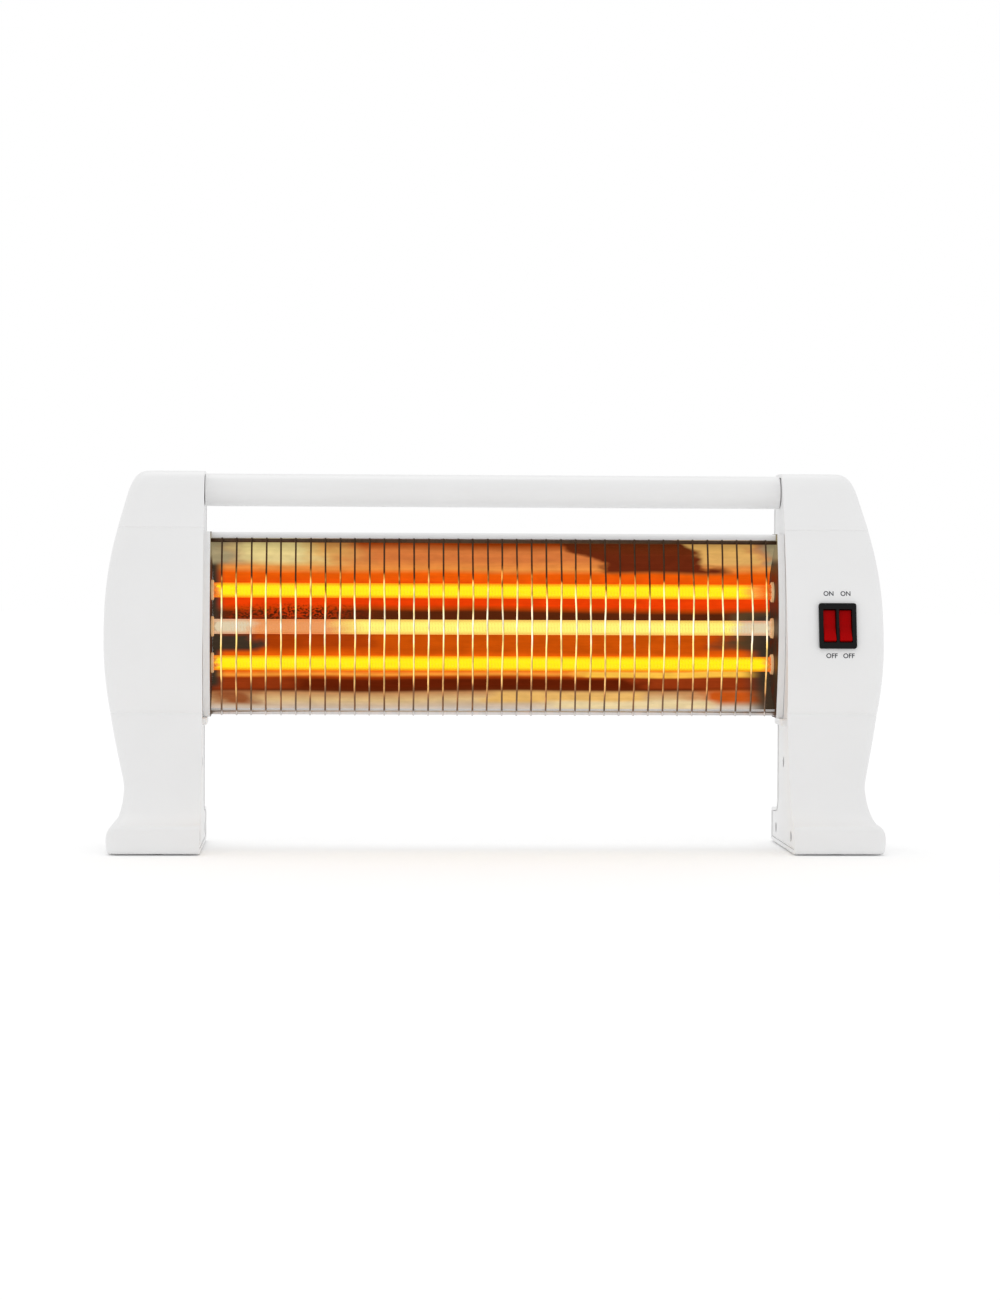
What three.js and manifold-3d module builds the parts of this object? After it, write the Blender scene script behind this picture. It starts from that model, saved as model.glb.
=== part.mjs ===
// Electric bar heater: two moulded towers carry a reflector body with three quartz heating
// tubes behind a bowed wire guard, a round handle above it, and two rocker switches.
// Millimetres. X runs along the heater to the right, Y to the back, Z up. The origin is on
// the floor, under the middle of the heater.

import * as THREE from 'three';
import { mergeVertices } from 'three/addons/utils/BufferGeometryUtils.js';
import Module from 'manifold-3d';

const wasm = await Module();
wasm.setup();

// ---------------------------------------------------------------- driving sizes

const clearance = 0.3; // between pieces that seat on each other

// Towers, as seen from the front
const height = 252; // floor to the top of the towers
const towerGap = 389; // between the facing sides of the two towers
const capHeight = 38; // from the upper crease to the top
const panelHeight = 123; // between the lower and the upper crease
const footHeight = 19;
const waistHeight = 43; // the narrowest place of the leg above the floor
const bulgeRise = 49; // the widest place above the lower crease
const footWidth = 61.2;
const waistWidth = 50.7;
const bulgeWidth = 65.5;
const capWidth = 50.4;

// Towers, as seen from the side
const footDepth = 120;
const legBack = 30;
const heelHeight = 24; // the foot ends in a low heel behind the leg
const heelRound = 4.5;
const heelRise = 1.2; // from the back of the heel to the leg
const panelFrontLow = -20; // front of the middle panel at the lower crease
const panelFrontHigh = -0.5; // front of the middle panel at the upper crease
const capStep = 0.4; // the cap stands proud of the panel under it
const capStepHeight = 0.3;
const capFront = 9;
const panelBack = 56;
const topRound = 13; // height of the rounded edge at the top
const frontEdgeRound = 6;
const backEdgeRound = 8;
const seamGroove = 0.5;
const floorGap = 1; // the covers stand clear of the floor on their pads

// Moulded walls and the plates that close the towers
const coverWall = 2.5;
const plateThickness = 2.5;
const plateRecess = 0.5; // the plate lies behind the rim of the cover

// Screws
const screwHeadRadius = 3.1;
const screwHeadHeight = 1.7;
const screwRadius = 1.5;
const screwLength = 16;
const screwPocketDepth = 3;
const screwPocketPlay = 0.5; // around a head
const screwPocketWall = 1.9;
const screwSeatWall = 2.2; // of the plate under a head
const screwBossWall = 2.4;
const bodyScrewInset = 9; // in front of the back of the body
const bodyScrewRise = 6; // from the slanted corners towards the middle
const legScrewHeight = 58;
const footScrewHeight = 11;
const footScrewFront = -38;
const footScrewBack = 38;
const legScrewDepth = 2;

// Handle
const handleDiameter = 22;
const handleWall = 2;
const handleDepth = 31.5; // its axis behind the middle of the foot
const handleTopGap = 1.5; // below the top of the towers
const spigotLength = 12;

// Reflector body
const bodyHeight = 122;
const bodyDrop = 3; // below the upper crease
const bodyFront = 9;
const bodyBack = 46;
const sheet = 1;
const lipHeight = 4;
const topShoulder = [30, 15]; // depth and height of the slanted rear corner above
const bottomShoulder = [26, 23]; // depth and height of the slanted rear corner below
const mitre = 0.45; // how far a slanted corner draws in for each unit of sheet
const endCapThickness = 4.2;
const endCapSheet = 1.2;
const endCapRim = 1.5;
const endCapBow = 11;
const endCapFront = 5;
const endCapBossWall = 1.6;
const rodSeatWall = 1;
const tabLength = 8;
const tabThickness = 1.2;
const ledgeFront = -13;
const ledgeLength = 39;
const ledgeThickness = 3;
const ledgeHeight = 4.2;

// Heating tubes
const tubeCount = 3;
const tubePitch = 24.5;
const tubeDiameter = 10;
const tubeWall = 1.2;
const tubeDepth = 24; // axis behind the middle of the foot
const tubeMiddleDrop = 2.5; // below the middle of the body
const collarDiameter = 13.6;
const collarThickness = 6.3; // from the side plate through the end cap
const holderDiameter = 12;
const holderLength = 18;
const socketDepth = 6.5; // how far a tube enters its holder
const coilDiameter = 5.8;
const coilWire = 0.8;
const coilCurls = 14;
const leadLength = 14; // straight end of a coil, from the last curl outwards

// Reflector
const reflectorBack = 38;
const reflectorTopDrop = 26; // back edge below the top of the body
const reflectorBottomRise = 24; // back edge above the bottom of the body
const troughDepth = 4;

// Guard
const guardWire = 1.5;
const guardRod = 2.6;
const guardWires = 38;
const guardPitch = 9.86;
const guardBow = 11.3;
const guardEnd = 1.6; // the wires end this far past the rods
const weldDepth = 0.5; // how far a wire is pressed into a rod
const guardTopDrop = 4.3; // surface of the upper rod below the top of the body

// Rear vents of the body
const ventColumns = 7;
const ventRows = 2;
const ventLength = 30;
const ventWidth = 4;
const ventPitch = 48;
const ventRowPitch = 18;

// Switch
const bezelWidth = 25.2;
const bezelHeight = 30.7;
const bezelThickness = 1.8;
const switchX = 228.2;
const switchZ = 149.9;
const switchBodyWidth = 22.4;
const switchBodyHeight = 27.6;
const switchBodyDepth = 20;
const rockerWidth = 8.2;
const rockerPitch = 10.6;
const rockerRadius = 11; // of the round ends about the pivot
const rockerPivotDepth = 2; // behind the face of the cover
const rockerDip = 1.4; // from the pivot to the bottom of the V
const rockerSlope = 10; // degrees, each half of the V, and half of the travel
const rockerUnderside = 3; // below the pivot
const pivotRadius = 1.2;
const pivotStub = 0.8;
const spadeWidth = 4.8;
const spadeThickness = 0.8;
const spadeLength = 9;
const spadeSocket = 3;
const spadeOffset = 6.5; // above and below the middle of the switch

// Inner parts
const busThickness = 1;
const busWidth = 8;
const busMargin = 5;
const tiltSwitchSize = [18, 22, 20];
const tiltSwitchX = 214;
const terminalBlockSize = [14, 26, 13];
const terminalBlockHeight = 75;
const terminalBlockDepth = 4;
const terminalPort = 3.2;
const terminalPitch = 8.1;
const grommetX = 225;
const grommetHeight = 60;
const grommetRadius = 6.6;
const grommetFlange = 9.4;
const grommetFlangeThickness = 3;
const grommetInnerStep = 0.8; // the inner flange is smaller by this
const grommetBore = 4.4;
const padRadius = 8;
const padHeight = 2.2;
const padTaper = 0.6;
const padPocket = 1.5;
const padDepth = 44; // pads in front of and behind the middle
const padInset = 29; // pad centre from the facing side of the tower

// ---------------------------------------------------------------- worked-out places

const innerFace = towerGap / 2;
const plateFace = innerFace + plateRecess;
const plateBack = plateFace + plateThickness;
const upperCrease = height - capHeight;
const lowerCrease = upperCrease - panelHeight;
const bodyTop = upperCrease - bodyDrop;
const bodyBottom = bodyTop - bodyHeight;
const bodyMiddle = (bodyTop + bodyBottom) / 2;
const endCapOuter = innerFace - clearance;
const endCapInner = endCapOuter - endCapThickness;
const bodyEnd = endCapInner - clearance;
const handleRadius = handleDiameter / 2;
const handleZ = height - handleTopGap - handleRadius;
const tubeHeights = Array.from(
  { length: tubeCount },
  (_, index) => bodyMiddle - tubeMiddleDrop + ((tubeCount - 1) / 2 - index) * tubePitch,
);
const holderSeat = plateFace - clearance;
const holderInner = holderSeat - collarThickness;
const holderOuter = holderInner + holderLength;
const tubeEnd = holderInner + socketDepth - clearance;
const slope = THREE.MathUtils.degToRad(rockerSlope);

// ---------------------------------------------------------------- solids and joins

function toManifold(geometry) {
  const bare = new THREE.BufferGeometry();
  bare.setAttribute('position', geometry.getAttribute('position').clone());
  if (geometry.index) bare.setIndex(geometry.index.clone());
  const merged = mergeVertices(bare, 1e-4);
  return new wasm.Manifold(new wasm.Mesh({
    numProp: 3,
    vertProperties: new Float32Array(merged.getAttribute('position').array),
    triVerts: new Uint32Array(merged.index.array),
  }));
}

function toGeometry(manifold) {
  const mesh = manifold.getMesh();
  const geometry = new THREE.BufferGeometry();
  geometry.setAttribute('position', new THREE.BufferAttribute(mesh.vertProperties, 3));
  geometry.setIndex(new THREE.BufferAttribute(mesh.triVerts, 1));
  return geometry;
}

function joined(first, ...others) {
  let result = toManifold(first);
  for (const other of others) result = result.add(toManifold(other));
  return toGeometry(result);
}

function cut(first, ...tools) {
  let result = toManifold(first);
  for (const tool of tools) result = result.subtract(toManifold(tool));
  return toGeometry(result);
}

function mirrored(geometry) {
  const copy = geometry.clone().scale(-1, 1, 1);
  const index = copy.index.array;
  for (let corner = 0; corner < index.length; corner += 3) {
    [index[corner + 1], index[corner + 2]] = [index[corner + 2], index[corner + 1]];
  }
  return copy;
}

function block(size, centre) {
  return new THREE.BoxGeometry(...size).translate(...centre);
}

// A cylinder along X from one place to another
function barAlongX(radius, from, to, y, z, sides = 16) {
  const bar = new THREE.CylinderGeometry(radius, radius, to - from, sides);
  return bar.rotateZ(-Math.PI / 2).translate((from + to) / 2, y, z);
}

function barAlongY(radius, from, to, x, z, sides = 18) {
  const bar = new THREE.CylinderGeometry(radius, radius, to - from, sides);
  return bar.translate(x, (from + to) / 2, z);
}

// An outline drawn in depth and height, extruded along X
function plateAlongX(outline, from, to) {
  const toWorld = new THREE.Matrix4().makeBasis(
    new THREE.Vector3(0, 1, 0),
    new THREE.Vector3(0, 0, 1),
    new THREE.Vector3(1, 0, 0),
  );
  const plate = new THREE.ExtrudeGeometry(outline, { depth: to - from, bevelEnabled: false });
  return plate.applyMatrix4(toWorld).translate(from, 0, 0);
}

// A tube through rings of points, closed at both ends
function skin(rings) {
  const sides = rings[0].length;
  const positions = rings.flat().flatMap((point) => [point.x, point.y, point.z]);
  const faces = [];
  for (let ring = 0; ring < rings.length - 1; ring += 1) {
    for (let side = 0; side < sides; side += 1) {
      const a = ring * sides + side;
      const b = ring * sides + ((side + 1) % sides);
      faces.push(a, b, b + sides, a, b + sides, a + sides);
    }
  }
  const last = (rings.length - 1) * sides;
  for (let side = 1; side < sides - 1; side += 1) {
    faces.push(0, side + 1, side);
    faces.push(last, last + side, last + side + 1);
  }
  const geometry = new THREE.BufferGeometry();
  geometry.setAttribute('position', new THREE.Float32BufferAttribute(positions, 3));
  geometry.setIndex(faces);
  return geometry;
}

function finish(color, roughness, metalness = 0) {
  return new THREE.MeshStandardMaterial({ color, roughness, metalness });
}

const whitePlastic = () => finish(0xe9e9e9, 0.42);
const blackPlastic = () => finish(0x16171a, 0.35);
const redPlastic = () => finish(0xa80408, 0.25);
const greyRubber = () => finish(0x4a4a4c, 0.85);
const zincSteel = () => finish(0x8d9095, 0.4, 0.9);
const polishedSteel = () => finish(0xd8c9ae, 0.18, 1);
const chromeWire = () => finish(0xc9cacc, 0.15, 1);
const paintedSteel = () => finish(0xdededc, 0.5, 0.1);
const quartzGlass = () => finish(0xffd23c, 0.3);
const heatingWire = () => finish(0xffa020, 0.6, 0.4);
const ceramic = () => finish(0xe8dcc4, 0.7);
const brass = () => finish(0xc9a24a, 0.35, 0.9);

const heater = new THREE.Group();

function place(name, geometry, material, parent = heater) {
  const mesh = new THREE.Mesh(geometry, material);
  mesh.name = name;
  parent.add(mesh);
  return mesh;
}

// A piece and its mirror image on the other side of the heater
function placePair(name, geometry, material) {
  place(`${name}_right`, geometry, material());
  place(`${name}_left`, mirrored(geometry), material());
}

// ---------------------------------------------------------------- outline of a tower

// Turns a path of (value, height) points into a function of the height
function byHeight(path) {
  const points = path.getPoints(16);
  return (z) => {
    const next = points.findIndex((point) => point.y >= z);
    if (next === -1) return points[points.length - 1].x;
    if (next === 0) return points[0].x;
    const low = points[next - 1];
    const high = points[next];
    const share = (z - low.y) / Math.max(high.y - low.y, 1e-6);
    return low.x + (high.x - low.x) * share;
  };
}

const footFront = -footDepth / 2;
const footBack = footDepth / 2;
const roundStart = height - topRound;
const legLength = lowerCrease - footHeight;
const bulgeHeight = lowerCrease + bulgeRise;

const frontPath = new THREE.Path();
frontPath.moveTo(footFront, 0);
frontPath.lineTo(footFront, footHeight - 2);
frontPath.lineTo(footFront + 1, footHeight);
frontPath.bezierCurveTo(
  footFront + 20, footHeight + 0.07 * legLength,
  panelFrontLow - 9, footHeight + 0.45 * legLength,
  panelFrontLow, lowerCrease,
);
frontPath.bezierCurveTo(
  panelFrontLow - 6, lowerCrease + 0.2 * panelHeight,
  panelFrontHigh - 12.5, upperCrease - 0.32 * panelHeight,
  panelFrontHigh, upperCrease,
);
frontPath.lineTo(panelFrontHigh - capStep, upperCrease + capStepHeight);
frontPath.lineTo(capFront, roundStart);
frontPath.lineTo(capFront, height);
const frontAt = byHeight(frontPath);

const backPath = new THREE.Path();
backPath.moveTo(footBack, 0);
backPath.lineTo(footBack, heelHeight - heelRound);
backPath.bezierCurveTo(
  footBack, heelHeight - 0.4 * heelRound,
  footBack - 0.4 * heelRound, heelHeight,
  footBack - heelRound, heelHeight,
);
backPath.lineTo(legBack + 1.4 * heelRound, heelHeight + heelRise);
backPath.bezierCurveTo(
  legBack + 0.4 * heelRound, heelHeight + 1.4 * heelRise,
  legBack, heelHeight + heelRise + 0.5 * heelRound,
  legBack, heelHeight + heelRise + 1.5 * heelRound,
);
backPath.lineTo(legBack, lowerCrease - 13);
backPath.bezierCurveTo(
  legBack + 1, lowerCrease + 6,
  panelBack - 1, lowerCrease + 9,
  panelBack, bulgeHeight,
);
backPath.lineTo(panelBack, height);
const backAt = byHeight(backPath);

const sidePath = new THREE.Path();
sidePath.moveTo(footWidth - 1, 0);
sidePath.lineTo(footWidth, 0.45 * footHeight);
sidePath.bezierCurveTo(
  footWidth, 0.8 * footHeight,
  footWidth - 2, 0.95 * footHeight,
  footWidth - 4.6, 1.01 * footHeight,
);
sidePath.bezierCurveTo(
  footWidth - 7, 1.08 * footHeight,
  waistWidth, 0.7 * waistHeight,
  waistWidth, waistHeight,
);
sidePath.bezierCurveTo(
  waistWidth + 0.5, waistHeight + 0.07 * (bulgeHeight - waistHeight),
  bulgeWidth, bulgeHeight - 0.46 * (bulgeHeight - waistHeight),
  bulgeWidth, bulgeHeight,
);
sidePath.bezierCurveTo(
  bulgeWidth + 0.4, bulgeHeight + 0.44 * (roundStart - bulgeHeight),
  capWidth + 9.6, roundStart - 0.35 * (roundStart - bulgeHeight),
  capWidth, roundStart,
);
sidePath.lineTo(capWidth, height);
const widthAt = byHeight(sidePath);

function spaced(from, to, count) {
  return Array.from({ length: count }, (_, index) => from + ((to - from) * index) / (count - 1));
}

// The rounded edge at the top: how far it is drawn in against how far it has risen
const topEdge = new THREE.CubicBezierCurve(
  new THREE.Vector2(0, 0),
  new THREE.Vector2(0.14, 0.38),
  new THREE.Vector2(0.38, 1),
  new THREE.Vector2(0.92, 1),
);

// Levels of a tower from its bottom to its top, drawn in by a wall thickness
function towerLevels(inset, bottom) {
  const curved = [
    0.5 * footHeight,
    0.8 * footHeight,
    ...spaced(0.93 * footHeight, footHeight, 2),
    ...spaced(heelHeight - 0.45 * heelRound, heelHeight, 2),
    ...spaced(heelHeight + heelRise, heelHeight + heelRise + 1.5 * heelRound, 3),
    ...spaced(waistHeight - 5, waistHeight, 2),
    ...spaced(footHeight + 0.55 * legLength, lowerCrease - seamGroove, 3),
    lowerCrease,
    ...spaced(lowerCrease + seamGroove, lowerCrease + 0.25 * panelHeight, 4),
    ...spaced(lowerCrease + 0.4 * panelHeight, upperCrease, 4),
    upperCrease + capStepHeight,
    roundStart,
  ];
  const levels = [{ z: bottom, inset: inset + 1.2 }, { z: bottom + 1.5, inset }];
  for (const z of curved) {
    const groove = z === lowerCrease && inset === 0 ? seamGroove : 0;
    levels.push({ z, inset: inset + groove });
  }
  const round = topRound - inset;
  for (const { x, y } of topEdge.getPoints(5).slice(1)) {
    levels.push({ z: roundStart + round * y, inset: inset + round * x });
  }
  return levels;
}

// A wall keeps its thickness where it lies nearly flat, so it is drawn in up and down as well
function drawnIn(valueAt, level, wall, sign) {
  const reaches = [level.z - wall, level.z, level.z + wall].map((z) => sign * valueAt(z));
  return sign * Math.min(reaches[0], reaches[1] - level.inset, reaches[2]);
}

const drawnFront = (level, wall) => drawnIn(frontAt, level, wall, -1);
const drawnBack = (level, wall) => drawnIn(backAt, level, wall, 1);
const drawnWidth = (level, wall) => drawnIn(widthAt, level, wall, 1);

// One level of a tower: flat on the facing side, with two rounded corners outside
function towerRing(level, facing, inset) {
  const front = drawnFront(level, inset);
  const back = drawnBack(level, inset);
  const outer = innerFace + drawnWidth(level, inset);
  const corners = [
    { radius: Math.max(frontEdgeRound - inset, 1), sign: -1, y: front, from: -Math.PI / 2 },
    { radius: Math.max(backEdgeRound - inset, 1), sign: 1, y: back, from: 0 },
  ];
  const ring = [new THREE.Vector3(facing, front, level.z)];
  for (const corner of corners) {
    const centreX = outer - corner.radius;
    const centreY = corner.y - corner.sign * corner.radius;
    for (const angle of spaced(corner.from, corner.from + Math.PI / 2, 4)) {
      const x = centreX + corner.radius * Math.cos(angle);
      const y = centreY + corner.radius * Math.sin(angle);
      ring.push(new THREE.Vector3(x, y, level.z));
    }
  }
  ring.push(new THREE.Vector3(facing, back, level.z));
  return ring;
}

function towerSolid(inset, facing, bottom) {
  const levels = towerLevels(inset, bottom);
  return skin(levels.map((level) => towerRing(level, facing, inset)));
}

// ---------------------------------------------------------------- tower covers

const plateScrewPlaces = [
  { y: legScrewDepth, z: legScrewHeight },
  { y: footScrewFront, z: footScrewHeight },
  { y: footScrewBack, z: footScrewHeight },
];
const pocketRadius = screwHeadRadius + screwPocketPlay;
const pocketOuterRadius = pocketRadius + screwPocketWall;
const screwSeat = plateFace + screwPocketDepth;
const coverBossStart = screwSeat + screwSeatWall + clearance;
const screwHole = screwRadius + clearance;

const switchFaceY = frontAt(switchZ);
const switchLean = Math.atan(
  (frontAt(switchZ + bezelHeight / 2) - frontAt(switchZ - bezelHeight / 2)) / bezelHeight,
);

function leaned(geometry) {
  return geometry.rotateX(-switchLean).translate(switchX, switchFaceY, switchZ);
}

function towerCover() {
  const shell = cut(
    towerSolid(0, innerFace, floorGap),
    towerSolid(coverWall, innerFace - 2, floorGap + coverWall),
  );
  const bosses = plateScrewPlaces.map(({ y, z }) => {
    const end = innerFace + widthAt(z) - coverWall / 2;
    return barAlongX(screwHole + screwBossWall, coverBossStart, end, y, z, 12);
  });
  const bores = plateScrewPlaces.map(({ y, z }) => (
    barAlongX(screwHole, coverBossStart - 1, screwSeat + screwLength + 1, y, z, 8)
  ));
  const pockets = [-padDepth, padDepth].map((y) => {
    const pocket = new THREE.CylinderGeometry(
      padRadius + clearance, padRadius + clearance, 2 * padPocket, 20,
    );
    return pocket.rotateX(Math.PI / 2).translate(innerFace + padInset, y, floorGap);
  });
  return cut(joined(shell, ...bosses), ...bores, ...pockets);
}

// The grommet sits on a flat seat: the furthest back that the wall reaches behind its flange
const grommetSeat = Math.max(
  ...spaced(grommetHeight - grommetFlange, grommetHeight + grommetFlange, 5).map(backAt),
);
const grommetPlace = [grommetX, grommetHeight];
const grommetPad = barAlongY(
  grommetFlange + clearance, grommetSeat - coverWall, grommetSeat, ...grommetPlace,
);
const grommetRoom = barAlongY(
  grommetFlange + clearance, grommetSeat - 4 * coverWall, grommetSeat - coverWall, ...grommetPlace,
);
const cordHole = barAlongY(
  grommetRadius + clearance, grommetSeat - 2 * coverWall, grommetSeat + coverWall, ...grommetPlace,
);

const plainCover = towerCover();
const switchHole = leaned(block(
  [switchBodyWidth + 2 * clearance, 4 * coverWall, switchBodyHeight + 2 * clearance],
  [0, coverWall, 0],
));
const rightCover = cut(joined(plainCover, grommetPad), grommetRoom, cordHole, switchHole);
place('tower_cover_right', rightCover, whitePlastic());
place('tower_cover_left', mirrored(plainCover), whitePlastic());

// ---------------------------------------------------------------- side plates

function plateOutline() {
  const inset = coverWall + clearance;
  const levels = towerLevels(inset, floorGap + inset);
  const front = levels.map((level) => new THREE.Vector2(drawnFront(level, inset), level.z));
  const back = levels.map((level) => new THREE.Vector2(drawnBack(level, inset), level.z));
  return new THREE.Shape([...back, ...front.reverse()]);
}

const holderHole = holderDiameter / 2 + clearance;
const tabTop = bodyTop + clearance;
const tabMiddle = endCapFront + endCapRim + tabLength / 2;
const bodyScrewPlaces = [
  { y: bodyBack - bodyScrewInset, z: bodyTop - topShoulder[1] - bodyScrewRise },
  { y: bodyBack - bodyScrewInset, z: bodyBottom + bottomShoulder[1] + bodyScrewRise },
];

// The slot behind the tube holders, round at both ends
function holderSlot() {
  const slot = new THREE.Shape();
  const low = tubeHeights[tubeCount - 1];
  slot.absarc(tubeDepth, tubeHeights[0], holderHole, 0, Math.PI);
  slot.absarc(tubeDepth, low, holderHole, Math.PI, 2 * Math.PI);
  return plateAlongX(slot, plateFace - 2, plateBack + 2);
}

function sidePlate() {
  const plate = plateAlongX(plateOutline(), plateFace, plateBack);
  const spigotRadius = handleRadius - handleWall - clearance;
  const spigot = barAlongX(
    spigotRadius, innerFace - clearance - spigotLength, plateFace + 1, handleDepth, handleZ, 20,
  );
  const ledgeTop = bodyBottom - 2 * clearance - endCapSheet;
  const ledge = block(
    [ledgeThickness + plateThickness, ledgeLength, ledgeHeight],
    [
      plateFace + (plateThickness - ledgeThickness) / 2,
      ledgeFront + ledgeLength / 2,
      ledgeTop - ledgeHeight / 2,
    ],
  );
  const cups = plateScrewPlaces.map(({ y, z }) => (
    barAlongX(pocketOuterRadius, plateFace + 1, coverBossStart - clearance, y, z, 12)
  ));
  const pockets = plateScrewPlaces.map(({ y, z }) => (
    barAlongX(pocketRadius, plateFace - 1, screwSeat, y, z, 14)
  ));
  const holes = [...plateScrewPlaces, ...bodyScrewPlaces].map(({ y, z }) => (
    barAlongX(screwHole, plateFace - 1, coverBossStart + 1, y, z, 8)
  ));
  const tabSlot = block(
    [4 * plateThickness, tabLength + 2 * clearance, tabThickness + 2 * clearance],
    [plateFace, tabMiddle, tabTop - tabThickness / 2],
  );
  const spigotBore = barAlongX(
    spigotRadius - handleWall, innerFace - spigotLength - 2, plateFace - 1,
    handleDepth, handleZ, 16,
  );
  return cut(
    joined(plate, spigot, ledge, ...cups),
    ...pockets, ...holes, tabSlot, holderSlot(), spigotBore,
  );
}

placePair('side_plate', sidePlate(), whitePlastic);

// ---------------------------------------------------------------- screws

function screw(seat, direction, y, z, length) {
  const head = barAlongX(
    screwHeadRadius,
    direction > 0 ? seat - clearance - screwHeadHeight : seat + clearance,
    direction > 0 ? seat - clearance : seat + clearance + screwHeadHeight,
    y, z, 12,
  );
  const shank = barAlongX(
    screwRadius,
    direction > 0 ? seat - 1 : seat + 1 - length,
    direction > 0 ? seat - 1 + length : seat + 1,
    y, z, 6,
  );
  return joined(head, shank);
}

const plateScrewNames = ['leg_screw', 'front_foot_screw', 'rear_foot_screw'];
plateScrewPlaces.forEach(({ y, z }, index) => {
  placePair(plateScrewNames[index], screw(screwSeat, 1, y, z, screwLength), zincSteel);
});

const bodyScrewNames = ['upper_body_screw', 'lower_body_screw'];
const bodyScrewLength = plateBack - endCapInner - 1;
bodyScrewPlaces.forEach(({ y, z }, index) => {
  placePair(bodyScrewNames[index], screw(plateBack, -1, y, z, bodyScrewLength), zincSteel);
});

// ---------------------------------------------------------------- feet

for (const [name, y] of [['front', -padDepth], ['rear', padDepth]]) {
  const pad = new THREE.CylinderGeometry(padRadius, padRadius - padTaper, padHeight, 20);
  pad.rotateX(Math.PI / 2).translate(innerFace + padInset, y, padHeight / 2);
  placePair(`${name}_foot_pad`, pad, greyRubber);
}

// ---------------------------------------------------------------- handle

const handleEnd = innerFace - clearance;
place('handle_tube', cut(
  barAlongX(handleRadius, -handleEnd, handleEnd, handleDepth, handleZ, 28),
  barAlongX(handleRadius - handleWall, -innerFace, innerFace, handleDepth, handleZ, 28),
), whitePlastic());

// ---------------------------------------------------------------- reflector body

// Outline of the body in depth and height, drawn in by a sheet thickness
function bodyCorners(inset) {
  const top = bodyTop - inset;
  const bottom = bodyBottom + inset;
  const back = bodyBack - inset;
  const lean = mitre * inset;
  return [
    [bodyFront, bottom],
    [bottomShoulder[0] - lean, bottom],
    [back, bodyBottom + bottomShoulder[1] + lean],
    [back, bodyTop - topShoulder[1] - lean],
    [topShoulder[0] - lean, top],
    [bodyFront, top],
  ];
}

function openProfile(outer, inner) {
  const corners = [...outer, ...[...inner].reverse()];
  return new THREE.Shape(corners.map(([y, z]) => new THREE.Vector2(y, z)));
}

// A stadium slot through the rear wall
function ventCutter(x, z) {
  const slot = new THREE.Shape();
  const half = ventLength / 2 - ventWidth / 2;
  slot.absarc(half, 0, ventWidth / 2, -Math.PI / 2, Math.PI / 2);
  slot.absarc(-half, 0, ventWidth / 2, Math.PI / 2, 1.5 * Math.PI);
  const cutter = new THREE.ExtrudeGeometry(slot, {
    depth: 4 * sheet, bevelEnabled: false, curveSegments: 3,
  });
  return cutter.rotateX(Math.PI / 2).translate(x, bodyBack + sheet, z);
}

function rearHousing() {
  const outer = bodyCorners(0);
  outer.unshift([bodyFront, bodyBottom + lipHeight]);
  outer.push([bodyFront, bodyTop - lipHeight]);
  const inner = bodyCorners(sheet);
  inner[0] = [bodyFront + sheet, bodyBottom + sheet];
  inner[inner.length - 1] = [bodyFront + sheet, bodyTop - sheet];
  inner.unshift([bodyFront + sheet, bodyBottom + lipHeight]);
  inner.push([bodyFront + sheet, bodyTop - lipHeight]);
  const shell = plateAlongX(openProfile(outer, inner), -bodyEnd, bodyEnd);
  const cutters = [];
  for (let column = 0; column < ventColumns; column += 1) {
    for (let row = 0; row < ventRows; row += 1) {
      const x = (column - (ventColumns - 1) / 2) * ventPitch;
      const z = bodyMiddle + (row - (ventRows - 1) / 2) * ventRowPitch;
      cutters.push(ventCutter(x, z));
    }
  }
  return cut(shell, ...cutters);
}

place('rear_housing', rearHousing(), paintedSteel());

// The reflector: slanted walls above and below, and a shallow trough behind each tube
function reflector() {
  const front = bodyFront + sheet + clearance;
  const topBack = bodyTop - reflectorTopDrop;
  const bottomBack = bodyBottom + reflectorBottomRise;
  const face = [[front, bodyTop - lipHeight + 1], [reflectorBack, topBack]];
  const ridges = [
    topBack,
    ...tubeHeights.slice(1).map((z) => z + tubePitch / 2),
    bottomBack,
  ];
  for (let trough = 0; trough < tubeCount; trough += 1) {
    const top = ridges[trough];
    const bottom = ridges[trough + 1];
    for (const share of spaced(0, 1, 7).slice(1)) {
      const depth = troughDepth * Math.sin(Math.PI * share);
      face.push([reflectorBack + depth, top + (bottom - top) * share]);
    }
  }
  face.push([front, bodyBottom + lipHeight - 1]);
  const rear = face.map(([y, z]) => [y + 1.2 * sheet, z]);
  return plateAlongX(openProfile(rear.reverse(), face.reverse()), -bodyEnd, bodyEnd);
}

place('reflector', reflector(), polishedSteel());

// ---------------------------------------------------------------- end caps of the body

// Follows the body, with a front edge that bows forward with the guard
function endCapOutline(inset) {
  const grow = clearance + endCapSheet - inset;
  const top = bodyTop + clearance - inset;
  const bottom = bodyBottom - clearance - endCapSheet + inset;
  const chord = top - bottom;
  const front = endCapFront + inset;
  const outline = new THREE.Shape();
  outline.moveTo(bottomShoulder[0], bottom);
  outline.lineTo(bodyBack + grow, bodyBottom + bottomShoulder[1]);
  outline.lineTo(bodyBack + grow, bodyTop - topShoulder[1]);
  outline.lineTo(topShoulder[0], top);
  for (const share of spaced(0, 1, 10)) {
    outline.lineTo(front - endCapBow * Math.sin(Math.PI * share), top - chord * share);
  }
  outline.closePath();
  return outline;
}

const rodDepth = bodyFront - clearance - guardRod / 2;
const rodHeights = [bodyTop - guardTopDrop - guardRod / 2, bodyBottom + guardRod / 2];

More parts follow.
